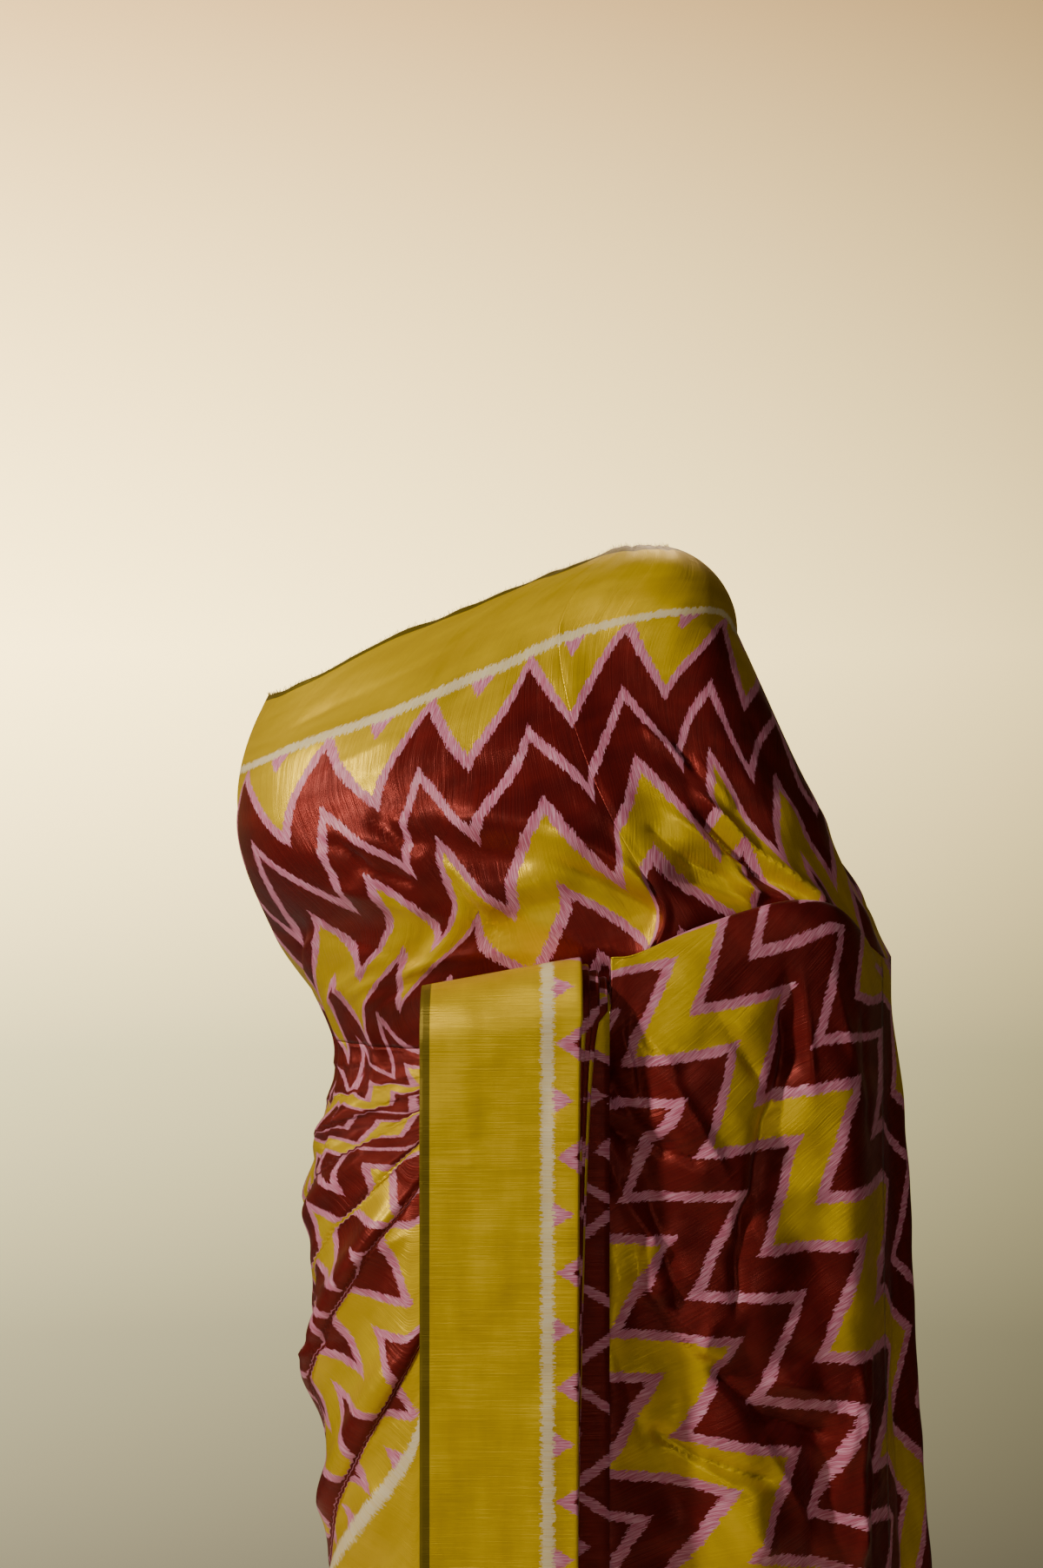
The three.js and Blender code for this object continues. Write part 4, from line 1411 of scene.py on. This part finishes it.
def add_node(
    tree: bpy.types.NodeTree,
    kind: str,
    settings: dict[str, object],
    values: Sequence[object] | dict[object, object],
) -> bpy.types.Node:
    """Adds one node to a tree.

    Args:
        tree: where it goes.
        kind: the node's type.
        settings: its own settings, set first.
        values: what goes into its inputs, by order or by name: wires, outputs or plain values.

    Returns:
        The new node.
    """
    node = tree.nodes.new(kind)
    for key, value in settings.items():
        setattr(node, key, value)
    pairs = values.items() if isinstance(values, dict) else enumerate(values)
    for key, value in pairs:
        source = value.socket if isinstance(value, Wire) else value
        if isinstance(source, bpy.types.NodeSocket):
            tree.links.new(source, node.inputs[key])
        else:
            node.inputs[key].default_value = source
    return node


class Graph:
    """A material's node tree, built one node at a time."""

    def __init__(self, name: str) -> None:
        """Starts an empty material with that name."""
        self.material = bpy.data.materials.new(name)
        self.material.use_nodes = True
        self.tree = self.material.node_tree
        self.tree.nodes.clear()

    def node(
        self,
        kind: str,
        settings: dict[str, object],
        values: Sequence[object] | dict[str, object],
        output: int | str = 0,
    ) -> Wire:
        """Adds one node, as add_node does, and returns the wire that leaves one output."""
        return Wire(self, add_node(self.tree, kind, settings, values).outputs[output])

    def blend(self, k: Wire, a: object, b: object) -> Wire:
        """A colour a share of the way from a to b."""
        settings = {"data_type": "RGBA"}
        return self.node("ShaderNodeMix", settings, {0: k, 6: a, 7: b}, 2)

    def place(self, x: Wire | float, y: Wire | float, z: Wire | float = 0.0) -> Wire:
        """A vector of three numbers."""
        return self.node("ShaderNodeCombineXYZ", {}, [x, y, z])

    def noise(self, vector: Wire, scale: float, detail: float = 2.0) -> Wire:
        """Smooth noise between 0 and 1."""
        values = {"Vector": vector, "Scale": scale, "Detail": detail}
        return self.node("ShaderNodeTexNoise", {}, values)

    def speckle(self, number: Wire) -> Wire:
        """A random number between 0 and 1 for each whole number."""
        return self.node("ShaderNodeTexWhiteNoise", {"noise_dimensions": "1D"}, {"W": number})

    def finish(self, surface: dict[str, object], height: Wire | None, depth: float) -> None:
        """Ends the tree in a principled shader.

        Args:
            surface: the shader's sockets by name.
            height: the relief, where there is any.
            depth: how deep the relief is, in metres.
        """
        if height is not None:
            values = {"Strength": 1.0, "Distance": depth, "Height": height}
            surface = {**surface, "Normal": self.node("ShaderNodeBump", {}, values)}
        shader = self.node("ShaderNodeBsdfPrincipled", {}, surface)
        end = self.tree.nodes.new("ShaderNodeOutputMaterial")
        self.tree.links.new(shader.socket, end.inputs["Surface"])


Colour = tuple[float, float, float, float]


def srgb(red: int, green: int, blue: int) -> Colour:
    """A display colour as the linear one that the shaders take."""

    def linear(value: int) -> float:
        """One channel."""
        c = value / 255
        return c / 12.92 if c <= 0.04045 else ((c + 0.055) / 1.055) ** 2.4

    return (linear(red), linear(green), linear(blue), 1.0)


@dataclass(frozen=True)
class Finish:
    """A finish with one material, made once."""

    name: str

    def material(self) -> bpy.types.Material:
        """The material, made on first use."""
        found = bpy.data.materials.get(self.name)
        return found if found else self.make()

    def make(self) -> bpy.types.Material:
        """Makes the material."""
        raise NotImplementedError


@dataclass(frozen=True)
class IkatSilk(Finish):
    """Handwoven weft ikat silk: zigzag lines on bands of yellow and maroon, with plain borders.

    Lengths are metres on the strip. The lines' edges are feathered along the weft.

    Attributes:
        period: of a zigzag line.
        step: from one line to the next.
        swing: half of a zigzag's height.
        first: where the first line's middle lies.
        lines: how many there are.
        line_half: half of a line's width.
        white_from: where the whitish line starts, and white_to where it ends.
        tooth_high: height of a pink dart, and tooth_half half of its foot.
        weft: width of a bundle of yarn, and feather how far the bundles are out of line.
        sway: how far the zigzags are out of true.
        relief: depth of the bump, and crumple its slow share.
        lustre: how metallic the plain silk looks.
    """

    yellow: Colour = (0.84, 0.60, 0.014, 1.0)
    yellow_deep: Colour = (0.64, 0.43, 0.010, 1.0)
    maroon: Colour = (0.225, 0.014, 0.012, 1.0)
    maroon_deep: Colour = (0.115, 0.007, 0.008, 1.0)
    pink: Colour = (0.46, 0.115, 0.205, 1.0)
    pink_pale: Colour = (0.70, 0.34, 0.47, 1.0)
    white: Colour = (0.70, 0.68, 0.64, 1.0)
    selvedge: Colour = (0.17, 0.125, 0.010, 1.0)
    period: float = 0.085
    step: float = 0.0517
    swing: float = 0.029
    first: float = 0.125
    lines: int = 18
    line_half: float = 0.0060
    white_from: float = 0.0848
    white_to: float = 0.0935
    tooth_high: float = 0.014
    tooth_half: float = 0.0095
    weft: float = 0.00055
    feather: float = 0.0034
    sway: float = 0.006
    selvedge_wide: float = 0.007
    warp_pitch: float = 0.0007
    weft_pitch: float = 0.0006
    relief: float = 0.0004
    crumple: float = 9.0
    lustre: float = 0.45

    def make(self) -> bpy.types.Material:
        """Charts the pattern on the strip's own map."""
        g = Graph(self.name)
        uv = g.node("ShaderNodeUVMap", {"uv_map": "strip"}, [])
        s = g.node("ShaderNodeSeparateXYZ", {}, [uv], 0)
        t0 = g.node("ShaderNodeSeparateXYZ", {}, [uv], 1)
        thread = (s / self.weft).whole()
        jitter = (g.speckle(thread) - 0.5) * self.feather
        drift = (g.noise(g.place(s * 260, t0 * 40), 1.0) - 0.5) * self.feather
        sway = (g.noise(g.place(s * 14, t0 * 14), 1.0) - 0.5) * self.sway
        t = t0 + jitter + drift
        wave = 1 - (((s + sway) / self.period).fraction() * 2 - 1).size() * 2
        q = (t - self.first - wave * self.swing) / self.step
        nearest = (q + 0.5).whole().most(0.0).least(float(self.lines - 1))
        line = ((q - nearest).size() * self.step).below(self.line_half)
        band = q.whole()
        inside = q.above(0.0) * q.below(float(self.lines - 1))
        third = ((band + 1) / 3).fraction().below(0.2)
        red = inside * (1 - third)
        edge = t.least(WIDTH - t)
        far = t.above(WIDTH / 2)
        white = edge.above(self.white_from) * edge.below(self.white_to)
        shift = ((s + far * (self.period / 2)) / self.period).fraction() - 0.5
        tooth_wide = (1 - (edge - self.white_to) / self.tooth_high) * self.tooth_half
        tooth = edge.above(self.white_to) * (shift.size() * self.period).below(tooth_wide)
        streak = g.noise(g.place(s * 1500, t0 * 90), 1.0, 1.0)
        streak = ((streak - 0.42) * 4).most(0.0).least(1.0)
        slub = g.noise(g.place(s * 900, t0 * 14), 1.0, 3.0)
        cloud = g.noise(g.place(s * 16, t0 * 60), 1.0, 3.0)
        bright = (cloud - 0.35) * 1.6 + (slub - 0.5) * 0.9
        gold = g.blend(bright.most(0.0).least(1.0), self.yellow_deep, self.yellow)
        bright = (cloud - 0.3) * 1.4 + (slub - 0.5) * 1.2
        wine = g.blend(bright.most(0.0).least(1.0), self.maroon_deep, self.maroon)
        rose = g.blend(streak, self.pink, self.pink_pale)
        colour = g.blend(red, gold, wine)
        colour = g.blend(line.most(tooth), colour, rose)
        pale = g.blend((slub * 0.7 + 0.16).least(1.0), gold, self.white)
        colour = g.blend(white, colour, pale)
        woven_edge = t0.least(WIDTH - t0).below(self.selvedge_wide)
        colour = g.blend(woven_edge, colour, self.selvedge)
        rough = 0.35 - (slub - 0.5) * 0.14 + white * 0.06
        weave_s = ((s / self.warp_pitch).fraction() - 0.5).size()
        weave_t = ((t0 / self.weft_pitch).fraction() - 0.5).size()
        crumple = g.noise(g.place(s * 1.4, t0), 17.0, 1.5)
        height = slub * 0.7 + (weave_s + weave_t) * 0.25 + crumple * self.crumple
        surface = {
            "Base Color": colour,
            "Roughness": rough,
            "Sheen Weight": 0.06,
            "Sheen Roughness": 0.4,
            "Metallic": (1 - line.most(tooth).most(white)) * self.lustre,
            "Specular IOR Level": 0.4,
            "Specular Tint": (1.0, 0.70, 0.50, 1.0),
        }
        g.finish(surface, height, self.relief)
        return g.material


@dataclass(frozen=True)
class FrayedYarn(Finish):
    """Loose ends of the selvedge's yarn."""

    colour: Colour = srgb(104, 88, 26)

    def make(self) -> bpy.types.Material:
        """Olive yarn, lighter and darker from end to end."""
        g = Graph(self.name)
        place = g.node("ShaderNodeTexCoord", {}, [], "Object")
        tone = g.noise(place, 900.0)
        colour = g.blend(tone, self.colour, srgb(160, 134, 40))
        g.finish({"Base Color": colour, "Roughness": 0.8}, None, 0.0)
        return g.material


@dataclass(frozen=True)
class StudioFloor(Finish):
    """The pale floor."""

    def make(self) -> bpy.types.Material:
        """A matt warm white."""
        g = Graph(self.name)
        place = g.node("ShaderNodeTexCoord", {}, [], "Object")
        colour = g.blend(g.noise(place, 3.0), srgb(214, 205, 186), srgb(222, 213, 195))
        g.finish({"Base Color": colour, "Roughness": 0.9}, None, 0.0)
        return g.material


@dataclass
class SelvedgeFray:
    """Short loose yarn ends along a selvedge, scattered by Geometry Nodes.

    Attributes:
        name: the piece's name.
        spacing: between ends, in metres.
        length: of an end, in metres.
        radius: of the yarn, in metres.
        tip: radius of its loose end.
        spread: how far an end leans to any side, in radians.
        seed: of the scatter.
    """

    name: str
    spacing: float = 0.0011
    length: float = 0.0028
    radius: float = 0.00022
    tip: float = 0.00006
    spread: float = 0.7
    seed: int = 7

    def tree(self, finish: Finish) -> bpy.types.GeometryNodeTree:
        """The node tree, with named inputs for the sizes.

        Args:
            finish: the yarn's finish.

        Returns:
            The tree.
        """
        tree = bpy.data.node_groups.new(self.name, "GeometryNodeTree")
        face = tree.interface
        face.new_socket("Geometry", in_out="INPUT", socket_type="NodeSocketGeometry")
        for name, value in (
            ("Spacing", self.spacing),
            ("Length", self.length),
            ("Radius", self.radius),
            ("Spread", self.spread),
        ):
            size = face.new_socket(name, in_out="INPUT", socket_type="NodeSocketFloat")
            size.default_value = value
        face.new_socket("Direction", in_out="INPUT", socket_type="NodeSocketVector")
        seed = face.new_socket("Seed", in_out="INPUT", socket_type="NodeSocketInt")
        seed.default_value = self.seed
        face.new_socket("Geometry", in_out="OUTPUT", socket_type="NodeSocketGeometry")

        add = partial(add_node, tree)
        inputs = add("NodeGroupInput", {}, {}).outputs
        curve = add("GeometryNodeMeshToCurve", {}, {0: inputs["Geometry"]})
        resample = add(
            "GeometryNodeResampleCurve",
            {"mode": "LENGTH"},
            {"Curve": curve.outputs[0], "Length": inputs["Spacing"]},
        )
        stub = add(
            "GeometryNodeMeshCone",
            {"fill_type": "NGON"},
            {
                "Vertices": 3,
                "Radius Top": self.tip,
                "Radius Bottom": inputs["Radius"],
                "Depth": inputs["Length"],
            },
        )
        lean = add("ShaderNodeMath", {"operation": "MULTIPLY"}, {0: inputs["Spread"], 1: -1.0})
        low = add("ShaderNodeCombineXYZ", {}, [lean.outputs[0], lean.outputs[0], 0.0])
        high = add("ShaderNodeCombineXYZ", {}, [inputs["Spread"], inputs["Spread"], 6.28])
        turn = add(
            "FunctionNodeRandomValue",
            {"data_type": "FLOAT_VECTOR"},
            {0: low.outputs[0], 1: high.outputs[0], "Seed": inputs["Seed"]},
        )
        aim = add(
            "FunctionNodeAlignRotationToVector",
            {"axis": "Z"},
            {"Vector": inputs["Direction"]},
        )
        rotate = add(
            "FunctionNodeRotateRotation",
            {"rotation_space": "LOCAL"},
            {"Rotation": aim.outputs[0], "Rotate By": turn.outputs[0]},
        )
        scale = add(
            "FunctionNodeRandomValue",
            {"data_type": "FLOAT"},
            {2: 0.35, 3: 1.25, "Seed": inputs["Seed"]},
        )
        put = add(
            "GeometryNodeInstanceOnPoints",
            {},
            {
                "Points": resample.outputs[0],
                "Instance": stub.outputs[0],
                "Rotation": rotate.outputs[0],
                "Scale": scale.outputs[1],
            },
        )
        real = add("GeometryNodeRealizeInstances", {}, {0: put.outputs[0]})
        paint = add(
            "GeometryNodeSetMaterial",
            {},
            {"Geometry": real.outputs[0], "Material": finish.material()},
        )
        add("NodeGroupOutput", {}, {0: paint.outputs[0]})
        return tree

    def build(self, line: Array, direction: Vec3, finish: Finish) -> bpy.types.Object:
        """Scatters the ends along a line.

        Args:
            line: the selvedge's points, in millimetres above the floor.
            direction: the way that the ends point.
            finish: the yarn's finish.

        Returns:
            The new piece, as a plain mesh.
        """
        points = (line + FLOOR_TO_FRAME) * MM
        guide = bpy.data.meshes.new(self.name + "_line")
        edges = [(i, i + 1) for i in range(len(points) - 1)]
        guide.from_pydata(points.tolist(), edges, [])
        holder = bpy.data.objects.new(self.name + "_line", guide)
        bpy.context.scene.collection.objects.link(holder)
        modifier = holder.modifiers.new("fray", "NODES")
        modifier.node_group = self.tree(finish)
        for item in modifier.node_group.interface.items_tree:
            if item.name == "Direction":
                modifier[item.identifier] = direction
        bpy.context.view_layer.update()
        ready = holder.evaluated_get(bpy.context.evaluated_depsgraph_get())
        mesh = bpy.data.meshes.new_from_object(ready)
        mesh.name = self.name
        piece = bpy.data.objects.new(self.name, mesh)
        bpy.context.scene.collection.objects.link(piece)
        bpy.data.objects.remove(holder)
        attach(piece, "root")
        LOG.info("%s: %d faces", self.name, len(mesh.polygons))
        return piece


@dataclass
class Studio:
    """The pale floor, the soft lights and the camera.

    Attributes:
        camera_at: the camera's place.
        camera_turn: its turn from straight on, in degrees.
        floor_radius: of the floor.
        lights: name, place, size, power and colour of each.
        air: the air's colours from low to high.
        air_light: the share of the air's brightness that lights the cloth.
        air_right: the way to the photo's right.
        air_turn: how far to each side the air goes on darkening.
        air_sides: its brightness at the left and at the right.
        aim: the place at which the lights point.
        sensor: height of the camera's sensor, in millimetres.
        lens: its focal length, in millimetres.
    """

    camera_at: Vec3 = (0.7576, -1.5710, 0.201)
    camera_turn: float = 25.0
    floor_radius: float = 1.45
    lights: tuple[tuple[str, Vec3, float, float, Vec3], ...] = (
        ("key", (-1.00, -1.90, 1.20), 0.18, 68.0, (1.0, 0.92, 0.80)),
        ("fill", (1.7, -1.9, 0.5), 0.5, 7.0, (1.0, 0.95, 0.88)),
        ("behind", (-0.7, 2.0, 2.2), 1.2, 30.0, (1.0, 0.95, 0.88)),
    )
    air: tuple[tuple[float, Vec3], ...] = (
        (-0.36, (0.22, 0.19, 0.12)),
        (-0.24, (0.50, 0.44, 0.24)),
        (-0.12, (1.15, 0.98, 0.47)),
        (0.06, (3.60, 2.70, 1.10)),
        (0.36, (1.20, 0.70, 0.26)),
    )
    air_light: float = 0.045
    air_right: Vec3 = (0.906, 0.423, 0.0)
    air_turn: float = 0.24
    air_sides: tuple[float, float] = (1.7, 0.55)
    aim: Vec3 = (0.08, -0.02, 0.05)
    sensor: float = 36.0
    lens: float = 50.0

    def build(self) -> None:
        """Sets up the room."""
        scene = bpy.context.scene
        scene.world = self.sky()
        self.floor()
        for row in self.lights:
            self.light(*row)
        lens = bpy.data.cameras.new("photo_camera")
        lens.sensor_fit = "VERTICAL"
        lens.sensor_height = self.sensor
        lens.lens = self.lens
        camera = bpy.data.objects.new("photo_camera", lens)
        camera.location = self.camera_at
        camera.rotation_euler = (np.pi / 2, 0.0, np.radians(self.camera_turn))
        scene.collection.objects.link(camera)
        scene.camera = camera

    def sky(self) -> bpy.types.World:
        """Warm air, brighter at eye level; it is seen in full but lights the cloth less."""
        world = bpy.data.worlds.new("studio_air")
        world.use_nodes = True
        tree = world.node_tree
        tree.nodes.clear()
        add = partial(add_node, tree)
        lowest, highest = self.air[0][0], self.air[-1][0]
        most = max(max(colour) for _, colour in self.air)
        place = add("ShaderNodeTexCoord", {}, {}).outputs["Generated"]
        level = add("ShaderNodeSeparateXYZ", {}, [place]).outputs["Z"]
        spread = add(
            "ShaderNodeMapRange", {}, {"Value": level, "From Min": lowest, "From Max": highest}
        )
        tones = add("ShaderNodeValToRGB", {}, [spread.outputs[0]])
        stops = tones.color_ramp.elements
        for i, (height, colour) in enumerate(self.air):
            share = (height - lowest) / (highest - lowest)
            stop = stops[i] if i < 2 else stops.new(share)
            stop.position = share
            stop.color = (*(c / most for c in colour), 1.0)
        seen = add("ShaderNodeLightPath", {}, {}).outputs["Is Camera Ray"]
        power = add(
            "ShaderNodeMapRange",
            {},
            {"Value": seen, "To Min": self.air_light * most, "To Max": most},
        )
        aside = add("ShaderNodeVectorMath", {"operation": "DOT_PRODUCT"}, [place, self.air_right])
        fade = add(
            "ShaderNodeMapRange",
            {},
            {
                "Value": aside.outputs["Value"],
                "From Min": -self.air_turn,
                "From Max": self.air_turn,
                "To Min": self.air_sides[0],
                "To Max": self.air_sides[1],
            },
        )
        both = add(
            "ShaderNodeMath", {"operation": "MULTIPLY"}, [power.outputs[0], fade.outputs[0]]
        )
        back = add(
            "ShaderNodeBackground", {}, {"Color": tones.outputs[0], "Strength": both.outputs[0]}
        )
        add("ShaderNodeOutputWorld", {}, {"Surface": back.outputs[0]})
        return world

    def floor(self) -> None:
        """A pale disc under the hem."""
        turn = np.linspace(0, 2 * np.pi, 97)[:-1]
        level = FLOOR_TO_FRAME[2] * MM
        rim = [(self.floor_radius * np.cos(a), self.floor_radius * np.sin(a), level) for a in turn]
        mesh = bpy.data.meshes.new("studio_floor")
        mesh.from_pydata(rim, [], [list(range(len(rim)))])
        mesh.materials.append(StudioFloor("pale_floor").material())
        disc = bpy.data.objects.new("studio_floor", mesh)
        bpy.context.scene.collection.objects.link(disc)

    def light(self, name: str, place: Vec3, size: float, power: float, colour: Vec3) -> None:
        """One soft area light, aimed at the chest."""
        lamp = bpy.data.lights.new(name, "AREA")
        lamp.shape = "DISK"
        lamp.size = size
        lamp.energy = power
        lamp.color = colour
        holder = bpy.data.objects.new(name, lamp)
        aim = np.array(self.aim) - np.array(place)
        pan = np.arctan2(aim[1], aim[0]) - np.pi / 2
        tilt = np.arctan2(np.hypot(aim[0], aim[1]), -aim[2])
        holder.location = place
        holder.rotation_euler = (tilt, 0.0, pan)
        bpy.context.scene.collection.objects.link(holder)


@dataclass
class Saree:
    """The whole strip, stretch by stretch, with its frayed selvedges."""

    silk: IkatSilk = field(default_factory=lambda: IkatSilk("woven_ikat"))
    yarn: FrayedYarn = field(default_factory=lambda: FrayedYarn("selvedge_yarn"))

    def stretches(self) -> list[Stretch]:
        """The eight stretches, in the order in which they are wound."""
        return [
            SkirtUnder("skirt_under", (220, 60), (1.05, 0.98), Hold.DRAPED, ("hip_wrap",), True),
            FrontPleats("front_pleats", (147, 60), (1.05, 0.48), Hold.FOLDED, ("skirt_under",)),
            HipWrap("hip_wrap", (262, 182), (1.0, 0.92), Hold.DRAPED, ("skirt_under",)),
            ChestDrape("chest_drape", (220, 120), (0.31, 0.64), Hold.DRAPED, ("hip_wrap",)),
            ShoulderDrape(
                "shoulder_drape", (150, 120), (0.32, 0.42), Hold.DRAPED, ("chest_drape",)
            ),
            FrontFall("front_fall", (110, 290), (0.27, 0.82), Hold.HUNG, ("shoulder_drape",)),
            BorderFall("border_fall", (123, 150), (0.6, 0.82), Hold.FOLDED, ("hip_wrap",)),
            BackFall("back_fall", (100, 140), (0.29, 0.74), Hold.HUNG, ("shoulder_drape",)),
        ]

    def build(self) -> None:
        """Makes the stretches, frays the selvedges that show and sets each in place of its solid.
        """
        made = {part.node: (part, part.build(self.silk)) for part in self.stretches()}
        chest, shoulder = made["chest_drape"][0], made["shoulder_drape"][0]
        up = (0.0, 0.0, 1.0)
        chest_fray, shoulder_fray = (
            SelvedgeFray("chest_fray", seed=3),
            SelvedgeFray("shoulder_fray", seed=5),
        )
        fray = {
            "chest_drape": chest_fray.build(chest.edge(1.0, 700), up, self.yarn),
            "shoulder_drape": shoulder_fray.build(shoulder.edge(1.0, 400), up, self.yarn),
        }
        for node, (part, piece) in made.items():
            part.declare(piece, [fray[node]] if node in fray else [])


def main() -> None:
    """Builds the saree and the studio."""
    logging.basicConfig(level=logging.INFO, format="%(message)s")
    Saree().build()
    Studio().build()


if __name__ == "__main__":
    main()
